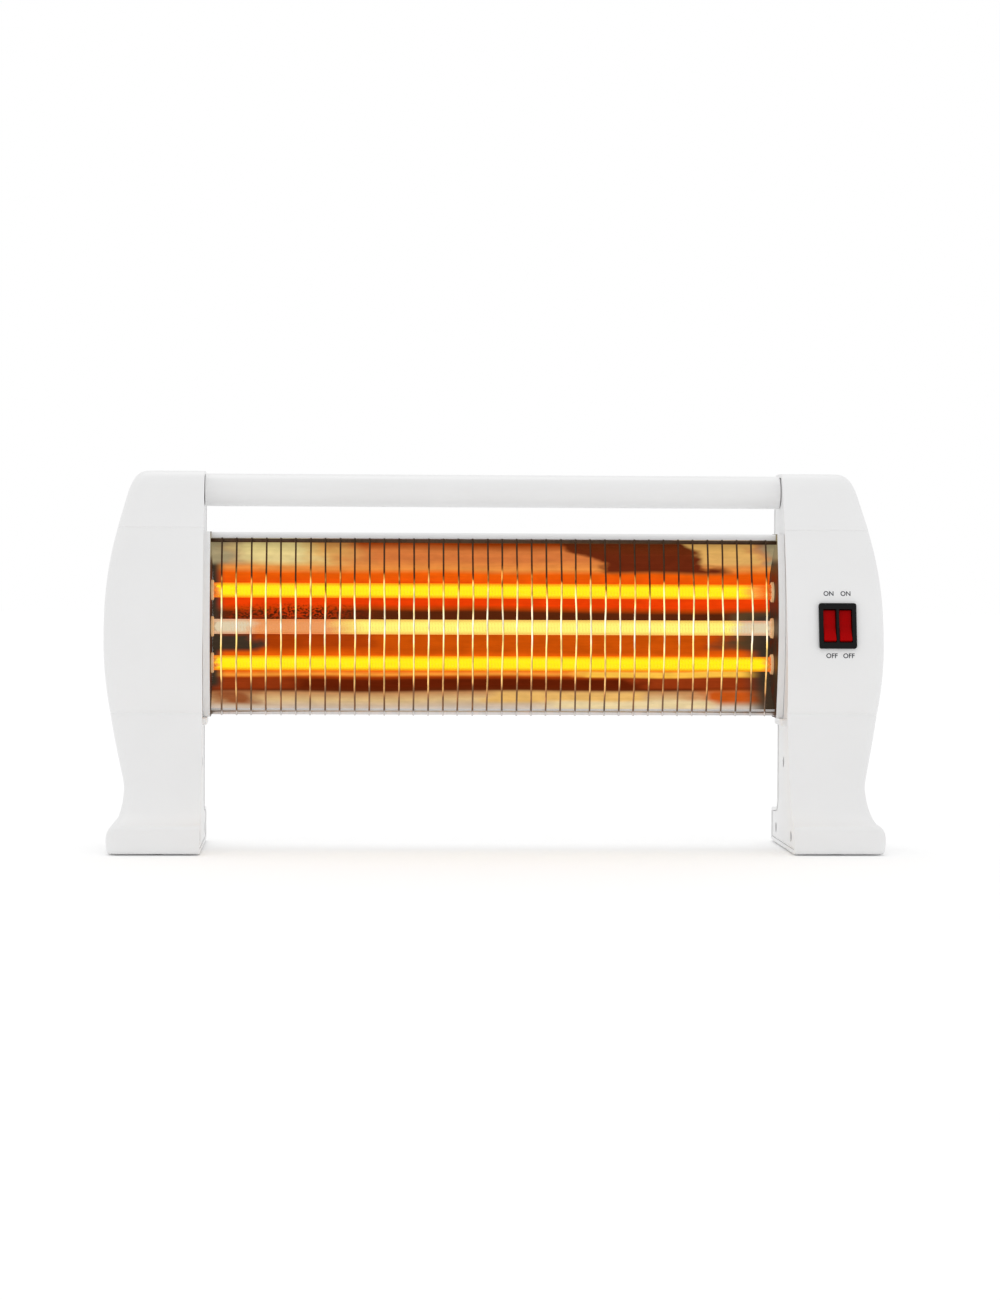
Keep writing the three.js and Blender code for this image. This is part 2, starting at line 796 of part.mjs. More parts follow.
function endCap() {
  const pan = cut(
    plateAlongX(endCapOutline(0), endCapInner, endCapOuter),
    plateAlongX(endCapOutline(endCapRim), endCapInner + endCapSheet, endCapOuter + 1),
  );
  const bosses = bodyScrewPlaces.map(({ y, z }) => (
    barAlongX(screwHole + endCapBossWall, endCapInner + endCapSheet / 2, endCapOuter, y, z, 10)
  ));
  const rodBore = guardRod / 2 + clearance;
  const rodSeats = rodHeights.map((z) => (
    barAlongX(rodBore + rodSeatWall, endCapInner + endCapSheet / 2, endCapOuter, rodDepth, z, 10)
  ));
  const tab = block(
    [plateBack - endCapOuter + endCapSheet, tabLength, tabThickness],
    [(plateBack + endCapOuter - endCapSheet) / 2, tabMiddle, tabTop - tabThickness / 2],
  );
  const bores = bodyScrewPlaces.map(({ y, z }) => (
    barAlongX(screwHole, endCapInner - 1, endCapOuter + 1, y, z, 8)
  ));
  const rodBores = rodHeights.map((z) => (
    barAlongX(rodBore, endCapInner - 1, endCapOuter + 1, rodDepth, z, 8)
  ));
  const holderBores = tubeHeights.map((z) => (
    barAlongX(collarDiameter / 2 + clearance, endCapInner - 1, endCapOuter + 1, tubeDepth, z)
  ));
  return cut(joined(pan, ...bosses, ...rodSeats, tab), ...bores, ...rodBores, ...holderBores);
}

placePair('end_cap', endCap(), paintedSteel);

// ---------------------------------------------------------------- heating tubes

const tubeNames = ['upper', 'middle', 'lower'];

function quartzTube(z) {
  const radius = tubeDiameter / 2;
  return cut(
    barAlongX(radius, -tubeEnd, tubeEnd, tubeDepth, z),
    barAlongX(radius - tubeWall, -tubeEnd - 1, tubeEnd + 1, tubeDepth, z),
  );
}

const leadBore = coilWire / 2 + clearance;

function tubeHolder(z) {
  return cut(
    joined(
      barAlongX(collarDiameter / 2, holderInner, holderSeat, tubeDepth, z),
      barAlongX(holderDiameter / 2, holderSeat - 1, holderOuter, tubeDepth, z),
    ),
    barAlongX(tubeDiameter / 2 + clearance, holderInner - 1, tubeEnd + clearance, tubeDepth, z),
    barAlongX(leadBore, tubeEnd, holderOuter + 1, tubeDepth, z, 6),
  );
}

const leadTip = holderOuter + clearance + busThickness + 2;
const coilHalf = tubeEnd - leadLength;

// The middle line of a coil: straight leads, an easing curl at each end and round curls
function coilLine() {
  const stepsPerCurl = 8;
  const steps = coilCurls * stepsPerCurl;
  const line = [{ x: -leadTip, radius: 0, angle: 0 }];
  for (let step = 0; step <= steps; step += 1) {
    const nearEnd = Math.min(step, steps - step) / stepsPerCurl;
    const ease = THREE.MathUtils.smoothstep(nearEnd, 0, 1);
    const angle = (2 * Math.PI * step) / stepsPerCurl;
    const x = -coilHalf + (2 * coilHalf * step) / steps;
    line.push({ x, radius: ease * (coilDiameter - coilWire) / 2, angle });
  }
  line.push({ x: leadTip, radius: 0, angle: 2 * Math.PI * coilCurls });
  return line;
}

function coilPoint({ x, radius, angle }) {
  return new THREE.Vector3(x, radius * Math.cos(angle), radius * Math.sin(angle));
}

function heatingCoil() {
  const line = coilLine();
  const points = line.map(coilPoint);
  const rings = points.map((point, index) => {
    const before = points[Math.max(index - 1, 0)];
    const after = points[Math.min(index + 1, points.length - 1)];
    const along = after.clone().sub(before).normalize();
    const { angle } = line[index];
    const outward = new THREE.Vector3(0, Math.cos(angle), Math.sin(angle));
    outward.addScaledVector(along, -outward.dot(along)).normalize();
    const across = along.clone().cross(outward);
    return Array.from({ length: 5 }, (_, side) => {
      const turn = (2 * Math.PI * side) / 5;
      return point.clone()
        .addScaledVector(outward, (coilWire / 2) * Math.cos(turn))
        .addScaledVector(across, (coilWire / 2) * Math.sin(turn));
    });
  });
  return skin(rings);
}

// The smallest gap between one curl and the next, from surface to surface
function leastCoilGap() {
  const points = coilLine().map(coilPoint);
  let least = Infinity;
  points.forEach((point, index) => {
    for (let other = index + 5; other < points.length; other += 1) {
      least = Math.min(least, point.distanceTo(points[other]) - coilWire);
    }
  });
  return least;
}

console.log(`heating coil: least gap to itself ${leastCoilGap().toFixed(2)} mm`);

tubeHeights.forEach((z, index) => {
  const name = tubeNames[index] ?? `extra_${index + 1}`;
  place(`${name}_quartz_tube`, quartzTube(z), quartzGlass());
  place(`${name}_heating_coil`, heatingCoil().translate(0, tubeDepth, z), heatingWire());
  placePair(`${name}_tube_holder`, tubeHolder(z), ceramic);
});

// ---------------------------------------------------------------- terminals of the tubes

const busInner = holderOuter + clearance;

function terminalStrip(low, high) {
  const strip = block(
    [busThickness, busWidth, high - low + 2 * busMargin],
    [busInner + busThickness / 2, tubeDepth, (high + low) / 2],
  );
  const holes = tubeHeights.filter((z) => z >= low && z <= high).map((z) => (
    barAlongX(leadBore, busInner - 1, busInner + busThickness + 1, tubeDepth, z, 6)
  ));
  return cut(strip, ...holes);
}

const lowestTube = tubeHeights[tubeCount - 1];
place('common_strip', mirrored(terminalStrip(lowestTube, tubeHeights[0])), brass());
tubeHeights.forEach((z, index) => {
  place(`${tubeNames[index] ?? index}_terminal_tab`, terminalStrip(z, z), brass());
});

// ---------------------------------------------------------------- guard

// A wire bent into a shallow arc from the top rod to the bottom rod
function guardWireSolid(x) {
  const [high, low] = rodHeights;
  const span = high - low;
  const weldPlane = rodDepth - guardRod / 2 - guardWire / 2 + weldDepth;
  const sides = 4;
  const rings = spaced(low - guardEnd, high + guardEnd, 7).map((z) => {
    const angle = (Math.PI * (z - low)) / span;
    const y = weldPlane - guardBow * Math.sin(angle);
    const lean = Math.atan((guardBow * Math.PI * Math.cos(angle)) / span);
    return Array.from({ length: sides }, (_, side) => {
      const turn = (2 * Math.PI * side) / sides;
      const across = (guardWire / 2) * Math.cos(turn);
      const out = (guardWire / 2) * Math.sin(turn);
      return new THREE.Vector3(
        x + across, y + out * Math.cos(lean), z + out * Math.sin(lean),
      );
    });
  });
  return skin(rings);
}

function guard() {
  const reach = endCapOuter - 1;
  const rods = rodHeights.map((z) => barAlongX(guardRod / 2, -reach, reach, rodDepth, z, 6));
  const wires = Array.from({ length: guardWires }, (_, index) => (
    guardWireSolid((index - (guardWires - 1) / 2) * guardPitch)
  ));
  return joined(...rods, ...wires);
}

place('wire_guard', guard(), chromeWire());

// ---------------------------------------------------------------- switch

const switchGroup = new THREE.Group();
switchGroup.position.set(switchX, switchFaceY, switchZ);
switchGroup.rotation.x = -switchLean;
heater.add(switchGroup);

const rockerPlaces = [-rockerPitch / 2, rockerPitch / 2];
const cellRadius = rockerRadius + clearance;
const cellFloor = rockerPivotDepth + rockerUnderside + rockerRadius * Math.sin(slope) + clearance;
const spadePlaces = [-spadeOffset, spadeOffset].flatMap((z) => (
  rockerPlaces.map((x) => ({ x, z }))
));

function switchCase() {
  const bezelFront = -clearance - bezelThickness;
  const bezel = block(
    [bezelWidth, bezelThickness, bezelHeight],
    [0, bezelFront + bezelThickness / 2, 0],
  );
  const body = block(
    [switchBodyWidth, switchBodyDepth + 1, switchBodyHeight],
    [0, (switchBodyDepth - 1) / 2, 0],
  );
  const cells = rockerPlaces.map((x) => block(
    [rockerWidth + 2 * clearance, cellFloor - bezelFront + 1, 2 * cellRadius],
    [x, (cellFloor + bezelFront - 1) / 2, 0],
  ));
  const reach = rockerPitch / 2 + rockerWidth / 2 + clearance + pivotStub;
  const pivotBore = barAlongX(
    pivotRadius + clearance, -reach, reach, rockerPivotDepth, 0, 12,
  );
  const sockets = spadePlaces.map(({ x, z }) => block(
    [spadeWidth + 2 * clearance, 2 * spadeSocket, spadeThickness + 2 * clearance],
    [x, switchBodyDepth, z],
  ));
  return cut(joined(bezel, body), ...cells, pivotBore, ...sockets);
}

place('switch_case', switchCase(), blackPlastic(), switchGroup);

// Side view of a rocker about its pivot: a shallow V outside, round ends, a flat underside
function rocker() {
  const outline = new THREE.Shape();
  const rise = rockerDip;
  const tip = rockerTip(rise);
  const tipAngle = Math.atan2(tip.out, tip.up);
  const lowAngle = -Math.asin(rockerUnderside / rockerRadius);
  outline.moveTo(-rise, 0);
  for (const angle of spaced(tipAngle, lowAngle, 6)) {
    outline.lineTo(-rockerRadius * Math.sin(angle), rockerRadius * Math.cos(angle));
  }
  for (const angle of spaced(lowAngle, tipAngle, 6)) {
    outline.lineTo(-rockerRadius * Math.sin(angle), -rockerRadius * Math.cos(angle));
  }
  outline.closePath();
  const half = rockerWidth / 2;
  return joined(
    plateAlongX(outline, -half, half),
    barAlongX(pivotRadius, -half - pivotStub, half + pivotStub, 0, 0, 12),
  );
}

// Where a straight half of the V meets the round end
function rockerTip(rise) {
  const a = 1 + Math.tan(slope) ** 2;
  const b = 2 * rise * Math.tan(slope);
  const c = rise ** 2 - rockerRadius ** 2;
  const up = (-b + Math.sqrt(b * b - 4 * a * c)) / (2 * a);
  return { up, out: rise + up * Math.tan(slope) };
}

['left', 'right'].forEach((side, index) => {
  const mesh = place(`${side}_rocker`, rocker(), redPlastic(), switchGroup);
  mesh.position.set(rockerPlaces[index], rockerPivotDepth, 0);
  mesh.rotation.x = -slope;
});

spadePlaces.forEach(({ x, z }, index) => {
  const spade = block(
    [spadeWidth, spadeLength, spadeThickness],
    [x, switchBodyDepth - spadeSocket + clearance + spadeLength / 2, z],
  );
  place(`switch_spade_${index + 1}`, spade, brass(), switchGroup);
});

// ---------------------------------------------------------------- inner parts

place('tilt_switch', block(
  tiltSwitchSize,
  [-tiltSwitchX, 0, floorGap + coverWall + clearance + tiltSwitchSize[2] / 2],
), blackPlastic());

function terminalBlock() {
  const [width, depth, tall] = terminalBlockSize;
  const x = plateBack + clearance + width / 2;
  const body = block([width, depth, tall], [x, terminalBlockDepth, terminalBlockHeight]);
  const ports = [-terminalPitch, 0, terminalPitch].map((offset) => {
    const port = new THREE.CylinderGeometry(terminalPort / 2, terminalPort / 2, tall + 2, 8);
    return port.rotateX(Math.PI / 2).translate(x, terminalBlockDepth + offset, terminalBlockHeight);
  });
  return cut(body, ...ports);
}

place('terminal_block', terminalBlock(), ceramic());

// The grommet grips the rear wall between two flanges
function cordGrommet() {
  const outside = grommetSeat + clearance;
  const inside = grommetSeat - coverWall - clearance;
  return cut(
    joined(
      barAlongY(grommetFlange, outside, outside + grommetFlangeThickness, ...grommetPlace),
      barAlongY(grommetRadius, inside - 1, outside + 1, ...grommetPlace),
      barAlongY(grommetFlange - grommetInnerStep, inside - 2, inside, ...grommetPlace),
    ),
    barAlongY(grommetBore, inside - 3, outside + grommetFlangeThickness + 1, ...grommetPlace),
  );
}

place('cord_grommet', cordGrommet(), greyRubber());

export default heater;
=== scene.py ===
"""Looks of the electric bar heater: its fine shells, wires, tubes and finishes, and a plain studio.

Shapes are worked out in millimetres in the frame's own axes: X to the right, Y to the back, Z up.
"""

import math
import random

import bmesh
import bpy
from mathutils import Matrix, Vector


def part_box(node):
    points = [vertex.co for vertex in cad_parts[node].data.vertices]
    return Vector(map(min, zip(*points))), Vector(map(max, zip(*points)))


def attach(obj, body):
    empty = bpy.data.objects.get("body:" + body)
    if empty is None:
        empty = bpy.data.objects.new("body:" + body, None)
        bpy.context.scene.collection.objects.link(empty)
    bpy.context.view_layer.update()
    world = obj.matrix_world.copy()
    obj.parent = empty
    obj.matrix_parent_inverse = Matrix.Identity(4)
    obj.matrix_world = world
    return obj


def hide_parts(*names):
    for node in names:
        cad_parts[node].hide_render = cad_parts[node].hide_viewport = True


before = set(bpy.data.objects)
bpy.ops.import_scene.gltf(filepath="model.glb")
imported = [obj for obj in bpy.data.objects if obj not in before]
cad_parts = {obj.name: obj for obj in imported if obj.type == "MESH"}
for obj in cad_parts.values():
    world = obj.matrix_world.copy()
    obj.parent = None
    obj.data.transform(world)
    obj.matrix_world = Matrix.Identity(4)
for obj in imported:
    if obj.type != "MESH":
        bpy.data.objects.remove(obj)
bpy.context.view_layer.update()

MM = 0.001
AT_AXIS = 0.001  # a profile ends just short of its axis
BODY = "heater_body"
TUBES = ("upper", "middle", "lower")
SIDES = (("right", 1), ("left", -1))


# ---- places read from the frame

def span(node):
    """Lowest and highest corner of a node, in millimetres."""
    low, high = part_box(node)
    return low / MM, high / MM


cover_low, cover_high = span("tower_cover_right")
handle_low, handle_high = span("handle_tube")
body_low, body_high = span("rear_housing")
reflector_low, reflector_high = span("reflector")
cap_low, cap_high = span("end_cap_right")
guard_low, guard_high = span("wire_guard")
case_low, case_high = span("switch_case")
grommet_low, grommet_high = span("cord_grommet")
tube_low, tube_high = span("upper_quartz_tube")
holder_low, holder_high = span("upper_tube_holder_right")
tube_depth = (tube_low.y + tube_high.y) / 2

INNER_FACE = cover_low.x
HEIGHT = cover_high.z


def tube_axis(level):
    """The height of a tube's middle line."""
    low, high = span(f"{level}_quartz_tube")
    return (low.z + high.z) / 2


# ---- mesh helpers

def add_object(name, data):
    thing = bpy.data.objects.new(name, data)
    bpy.context.scene.collection.objects.link(thing)
    return thing


def mesh_object(name, points, faces):
    mesh = bpy.data.meshes.new(name)
    mesh.from_pydata([Vector(point) * MM for point in points], [], faces)
    mesh.update()
    return add_object(name, mesh)


def arc(centre, radius, start, end, count):
    """Points on an arc from one angle to another, in degrees."""
    points = []
    for step in range(count + 1):
        angle = math.radians(start + (end - start) * step / count)
        points.append((centre[0] + radius * math.cos(angle), centre[1] + radius * math.sin(angle)))
    return points


def spaced(low, high, count):
    return [low + (high - low) * step / (count - 1) for step in range(count)]


def skin(name, rings, closed=False):
    """A surface through rings of points. The ends get a face each, or meet when it is closed."""
    sides = len(rings[0])
    points = [point for ring in rings for point in ring]
    faces = []
    pairs = len(rings) if closed else len(rings) - 1
    for ring in range(pairs):
        here, there = ring * sides, ((ring + 1) % len(rings)) * sides
        for side in range(sides):
            following = (side + 1) % sides
            faces.append((here + side, here + following, there + following, there + side))
    if not closed:
        faces.append(tuple(reversed(range(sides))))
        faces.append(tuple(range((len(rings) - 1) * sides, len(rings) * sides)))
    return face_outwards(mesh_object(name, points, faces))


def face_outwards(thing):
    edit = bmesh.new()
    edit.from_mesh(thing.data)
    bmesh.ops.recalc_face_normals(edit, faces=edit.faces)
    edit.to_mesh(thing.data)
    edit.free()
    return thing


def prism(name, outline, start, end):
    """An outline in depth and height, drawn out along X."""
    rings = [[(x, y, z) for y, z in outline] for x in (start, end)]
    return skin(name, rings)


def revolved(name, profile, axis, centre, sides=48):
    """A closed profile of (radius, place along the axis) points, turned about an axis."""
    first, second = {"X": ("y", "z"), "Y": ("z", "x"), "Z": ("x", "y")}[axis]
    rings = []
    for step in range(sides):
        angle = 2 * math.pi * step / sides
        ring = []
        for radius, along in profile:
            point = Vector(centre)
            setattr(point, axis.lower(), getattr(point, axis.lower()) + along)
            setattr(point, first, getattr(point, first) + radius * math.cos(angle))
            setattr(point, second, getattr(point, second) + radius * math.sin(angle))
            ring.append(point)
        rings.append(ring)
    return skin(name, rings, closed=True)


def disc(name, radius, start, end, axis, centre, sides=32):
    """A solid round bar from one place to another along an axis."""
    profile = [(AT_AXIS, start), (radius, start), (radius, end), (AT_AXIS, end)]
    return revolved(name, profile, axis, centre, sides)


def bar_profile(radius, end, chamfer, rise, along=()):
    """The outside of a bar that reaches as far to both sides, with a chamfer at each end."""
    return [(radius - chamfer, -end), (radius, -end + rise), *((radius, x) for x in along),
            (radius, end - rise), (radius - chamfer, end)]


def rounded_profile(corners, radius, count=4):
    """A closed outline whose corners are rounded with an arc of that radius."""
    points = []
    for index, corner in enumerate(corners):
        here = Vector(corner)
        before = (Vector(corners[index - 1]) - here)
        after = (Vector(corners[(index + 1) % len(corners)]) - here)
        reach = min(radius, before.length / 2.01, after.length / 2.01)
        start, end = here + before.normalized() * reach, here + after.normalized() * reach
        for share in spaced(0, 1, count + 1):
            along = start.lerp(here, share).lerp(here.lerp(end, share), share)
            points.append(tuple(along))
    return points


def box_outline(width, height, radius, count=5):
    right, top = width / 2, height / 2
    corners = [(-right, -top), (right, -top), (right, top), (-right, top)]
    return rounded_profile(corners, radius, count)


def swept(path, radius, sides, aside, start=0.0):
    """Rings of a round wire along a path. A direction aside fixes how they are turned."""
    rings = []
    for index, point in enumerate(path):
        along = (path[min(index + 1, len(path) - 1)] - path[max(index - 1, 0)]).normalized()
        other = along.cross(aside).normalized()
        across = other.cross(along)
        rings.append([
            point + (across * math.cos(turn) + other * math.sin(turn)) * radius
            for turn in (start + 2 * math.pi * side / sides for side in range(sides))
        ])
    return rings


def combine(target, tool, operation):
    """Cuts or joins a piece with another, which is used up."""
    modifier = target.modifiers.new(operation.lower(), "BOOLEAN")
    modifier.operation = operation
    modifier.solver = "EXACT"
    modifier.object = tool
    mesh = mesh_of(target)
    target.modifiers.clear()
    target.data = mesh
    bpy.data.objects.remove(tool)
    return target


def mesh_of(thing):
    """The mesh that a piece shows, with its modifiers or its curve worked out."""
    graph = bpy.context.evaluated_depsgraph_get()
    return bpy.data.meshes.new_from_object(thing.evaluated_get(graph))


def mirrored(thing, name):
    mesh = thing.data.copy()
    mesh.transform(Matrix.Scale(-1, 4, (1, 0, 0)))
    mesh.flip_normals()
    return add_object(name, mesh)


def softened(thing, width=0.3, segments=2, angle=32):
    """Small rounds on the sharp edges, with flat faces kept flat in the shading."""
    thing.data.shade_smooth()
    bevel = thing.modifiers.new("edge", "BEVEL")
    bevel.width = width * MM
    bevel.segments = segments
    bevel.limit_method = "ANGLE"
    bevel.angle_limit = math.radians(angle)
    bevel.harden_normals = True
    return thing


def smooth(thing, angle=32):
    thing.data.shade_smooth()
    thing.data.set_sharp_from_angle(angle=math.radians(angle))
    return thing


def pair(right, width, angle, material, slot, node):
    """Softens and finishes a right-hand piece and its mirror image."""
    left = mirrored(right, right.name.replace("right", "left"))
    for side, thing in (("right", right), ("left", left)):
        finished(softened(thing, width, 2, angle), material, slot, f"{node}_{side}")


def finished(thing, material, slot, *nodes, body=BODY):
    """Gives a piece its finish and its body, and hides the nodes that it stands for."""
    thing.data.materials.clear()
    thing.data.materials.append(material)
    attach(thing, body)
    if nodes:
        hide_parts(*nodes)
    return thing


# ---- materials

def linear(red, green, blue):
    """A colour given as it looks, from 0 to 255, as the light it stands for."""
    def channel(value):
        value /= 255
        return value / 12.92 if value <= 0.04045 else ((value + 0.055) / 1.055) ** 2.4
    return (channel(red), channel(green), channel(blue), 1.0)


class Shader:
    """A shader of a material or a world, and the nodes that feed it."""

    def __init__(self, owner, shader):
        owner.use_nodes = True
        self.tree = owner.node_tree
        self.shader = self.tree.nodes[shader]

    def add(self, kind, inputs=None, **settings):
        made = self.tree.nodes.new(kind)
        for name, value in settings.items():
            setattr(made, name, value)
        for name, value in (inputs or {}).items():
            self.feed(made.inputs[name], value)
        return made

    def feed(self, socket, value):
        if isinstance(value, bpy.types.NodeSocket):
            self.tree.links.new(value, socket)
        else:
            socket.default_value = value

    def set(self, name, value):
        self.feed(self.shader.inputs[name], value)

    def math(self, operation, first, second=0.0):
        return self.add("ShaderNodeMath", {0: first, 1: second}, operation=operation).outputs[0]


class Sky(Shader):
    """The light from all sides."""

    def __init__(self, name):
        self.world = bpy.data.worlds.new(name)
        super().__init__(self.world, "Background")


class Finish(Shader):
    """A material being built, with its colours and patterns placed on the object."""

    def __init__(self, name, color, roughness, metallic=0.0):
        self.material = bpy.data.materials.new(name)
        super().__init__(self.material, "Principled BSDF")
        self.set("Base Color", color)
        self.set("Roughness", roughness)
        self.set("Metallic", metallic)
        self.place = self.add("ShaderNodeTexCoord").outputs["Object"]

    def noise(self, x, y, z, detail=2.0):
        """Soft patches of about that size along each axis, in millimetres."""
        scale = (1 / (x * MM), 1 / (y * MM), 1 / (z * MM))
        place = self.add("ShaderNodeMapping", {"Vector": self.place, "Scale": scale}).outputs[0]
        inputs = {"Vector": place, "Scale": 1.0, "Detail": detail}
        return self.add("ShaderNodeTexNoise", inputs).outputs["Fac"]

    def axis(self, name):
        return self.add("ShaderNodeSeparateXYZ", {"Vector": self.place}).outputs[name]

    def times(self, first, second):
        return self.math("MULTIPLY", first, second)

    def between(self, value, low, high, to_low=0.0, to_high=1.0):
        inputs = {"Value": value, "From Min": low, "From Max": high,
                  "To Min": to_low, "To Max": to_high}
        return self.add("ShaderNodeMapRange", inputs, interpolation_type="SMOOTHSTEP").outputs[0]

    def swayed(self, value, noise, reach):
        """A place moved to and fro by a noise, by up to that many millimetres."""
        return self.math("ADD", value, self.between(noise, 0.2, 0.8, -reach * MM, reach * MM))

    def ramp(self, value, stops):
        """A colour ramp over (place in millimetres, colour) stops."""
        low, high = stops[0][0], stops[-1][0]
        share = self.math("DIVIDE", self.math("SUBTRACT", value, low * MM), (high - low) * MM)
        made = self.add("ShaderNodeValToRGB", {"Fac": share})
        elements = made.color_ramp.elements
        while len(elements) < len(stops):
            elements.new(0.5)
        for _ in range(2):  # the first pass puts the elements in order
            for element, (place, color) in zip(elements, stops):
                element.position = (place - low) / (high - low)
                element.color = color
        return made.outputs["Color"]

    def normal(self, axis):
        facing = self.add("ShaderNodeTexCoord").outputs["Normal"]
        return self.add("ShaderNodeSeparateXYZ", {"Vector": facing}).outputs[axis]

    def mix(self, factor, first, second, blend="MIX"):
        made = self.add("ShaderNodeMix", data_type="RGBA", blend_type=blend)
        colors = [socket for socket in made.inputs if socket.type == "RGBA"]
        self.feed(made.inputs["Factor"], factor)
        self.feed(colors[0], first)
        self.feed(colors[1], second)
        return [socket for socket in made.outputs if socket.type == "RGBA"][0]

    def within(self, half):
        """1 up to that many millimetres from the middle, to both sides."""
        return self.math("LESS_THAN", self.math("ABSOLUTE", self.axis("X")), half * MM)

    def glow(self, color, strength):
        self.set("Emission Color", color)
        self.set("Emission Strength", strength)

    def bump(self, height, strength, distance):
        inputs = {"Height": height, "Strength": strength, "Distance": distance * MM}
        self.set("Normal", self.add("ShaderNodeBump", inputs).outputs[0])

    def shades(self, dark, light, size, detail=2.0):
        """A soft variation between two colours, over patches of that size in millimetres."""
        factor = self.noise(size, size, size, detail)
        self.set("Base Color", self.mix(factor, dark, light))
        return factor

    def rough_between(self, factor, low, high):
        self.set("Roughness", self.between(factor, 0.25, 0.75, low, high))


def plain(name, dark, light, roughness, patch=45, detail=2.0, metallic=0.0, worn=0.0,
          gloss=0.5, grain=None, relief=None):
    """A finish that varies softly between two shades, over patches of a size in millimetres.

    Its roughness varies by worn. Its relief (strength, depth) follows a finer grain (size,
    detail) where there is one, and otherwise the patches.
    """
    finish = Finish(name, light, roughness, metallic)
    finish.set("Specular IOR Level", gloss)
    height = patches = finish.shades(dark, light, patch, detail)
    if worn:
        finish.rough_between(patches, roughness - worn, roughness + worn)
    if grain:
        height = finish.noise(grain[0], grain[0], grain[0], detail=grain[1])
    if relief:
        finish.bump(height, *relief)
    return finish.material


def stamped_brass():
    finish = Finish("stamped_brass", linear(205, 172, 96), 0.35, 1.0)
    streaks = finish.noise(0.4, 6, 0.4, detail=3.0)
    finish.set("Base Color", finish.mix(streaks, linear(176, 140, 70), linear(214, 184, 110)))
    finish.rough_between(streaks, 0.25, 0.45)
    return finish.material


def unglazed_ceramic():
    finish = Finish("unglazed_ceramic", linear(206, 172, 132), 0.7)
    patches = finish.shades(linear(188, 140, 92), linear(222, 196, 156), 4.0, 4.0)
    finish.bump(patches, 0.2, 0.08)
    # Painted glow: the part of each holder within 196 mm of the middle gives out a warm light, as if
    # lit by the tubes
    painted_glow = finish.mix(patches, linear(206, 154, 98), linear(220, 186, 140))
    finish.glow(painted_glow, finish.times(finish.within(196), 0.46))
    return finish.material


COAT_SHADES = (linear(237, 237, 237), linear(243, 243, 243))
CAP_WALL = 190.0  # the inner side of an end cap's wall

# Colours of the glow, painted on the polished sheet as its reflection of the tubes; the tubes' own
# glow uses some of them too
CREAM = linear(218, 184, 132)
STRAW = linear(232, 212, 146)
TAN = linear(214, 122, 62)
PEACH = linear(236, 148, 68)
GOLD = linear(226, 176, 100)
AMBER = linear(248, 160, 66)
ORANGE = linear(238, 96, 10)
RED_ORANGE = linear(238, 64, 6)
RUST = linear(172, 62, 8)
BROWN = linear(96, 36, 12)
DEEP_BROWN = linear(66, 22, 6)
UMBER = linear(98, 30, 7)
CHESTNUT = linear(150, 56, 18)
OLIVE = linear(166, 152, 116)
SMOKE = linear(62, 50, 38)
SILVER = linear(214, 206, 202)

# The painted reflection on the sheet, from its lower to its upper edge: heights in millimetres
PAINTED_REFLECTION_BANDS = (
    (91.0, SILVER), (94.5, linear(204, 182, 160)), (98.5, CREAM), (102.8, linear(196, 142, 92)),
    (104.6, BROWN), (107.0, UMBER), (111.0, UMBER), (113.0, RUST), (114.8, linear(250, 156, 56)),
    (117.5, ORANGE), (128.0, ORANGE), (134.0, RUST), (141.0, RUST), (144.0, BROWN),
    (152.5, linear(88, 37, 14)), (157.0, linear(88, 37, 14)), (159.0, RUST), (162.0, RED_ORANGE),
    (170.0, RED_ORANGE), (183.0, ORANGE), (186.5, PEACH), (193.0, TAN), (199.0, TAN),
    (204.0, RUST), (208.0, BROWN),
)


class Bands(Finish):
    """A finish that is laid in bands by height and broken by patches along the heater."""

    def __init__(self, *settings):
        super().__init__(*settings)
        self.x, self.z = self.axis("X"), self.axis("Z")
        self.height = self.swayed(self.z, self.noise(120, 120, 60), 1.2)
        self.along = self.swayed(self.x, self.noise(34, 60, 14, detail=3.0), 12)

    def stretch(self, value, start, end, edge=3):
        """1 between two places in millimetres, with soft edges."""
        rise = self.between(value, start * MM, (start + edge) * MM)
        fall = self.between(value, (end - edge) * MM, end * MM, 1.0, 0.0)
        return self.math("MULTIPLY", rise, fall)

    def shaded(self, color, factor):
        grey = {"Red": factor, "Green": factor, "Blue": factor}
        return self.mix(1.0, color, self.add("ShaderNodeCombineColor", grey).outputs[0], "MULTIPLY")


# Patches of painted reflection laid over the bands in turn: colour, what the first stretch is
# measured along, and the stretches along the heater and in height, as (from, to, soft edge) in
# millimetres
FAR = 400
PAINTED_REFLECTION_PATCHES = (
    (GOLD, "along", (-190, -84, 40), (187, 212, 3)),
    (STRAW, "along", (-184, -112, 22), (188, 214, 5)),
    (GOLD, "along", (108, 184, 12), (187, 212, 5)),
    (linear(104, 40, 18), "slanted", (366, 454, 10), (182, 220, 4)),
    (linear(150, 84, 48), "along", (-200, -146, 22), (94, 106, 3)),
    (linear(196, 84, 24), "along", (126, 200, 22), (93, 107, 5)),
    (linear(204, 82, 8), "along", (-92, 166, 30), (127, 146, 4)),
    (CHESTNUT, "along", (-200, -130, 24), (104, 114, 3)),
    (CHESTNUT, "along", (92, 200, 14), (104, 114, 3)),
    (linear(230, 182, 106), "along", (-12, 112, 14), (95, 105, 3)),
    (linear(234, 212, 166), "along", (26, 156, 20), (91, 99, 3)),
    (linear(252, 194, 72), "along", (50, 190, 20), (112, 118, 2)),
    (linear(92, 66, 40), "along", (150, FAR, 18), (130, 160, 3)),
    (SMOKE, "x", (168, FAR, 18), (84, 160, 6)),
    (SMOKE, "x", (-FAR, -180, 9), (104, 198, 6)),
    (SMOKE, "along", (-210, -158, 10), (129, 144, 4)),
    (OLIVE, "along", (-FAR, -160, 22), (187, 214, 4)),
    (OLIVE, "along", (174, FAR, 14), (187, 214, 4)),
)


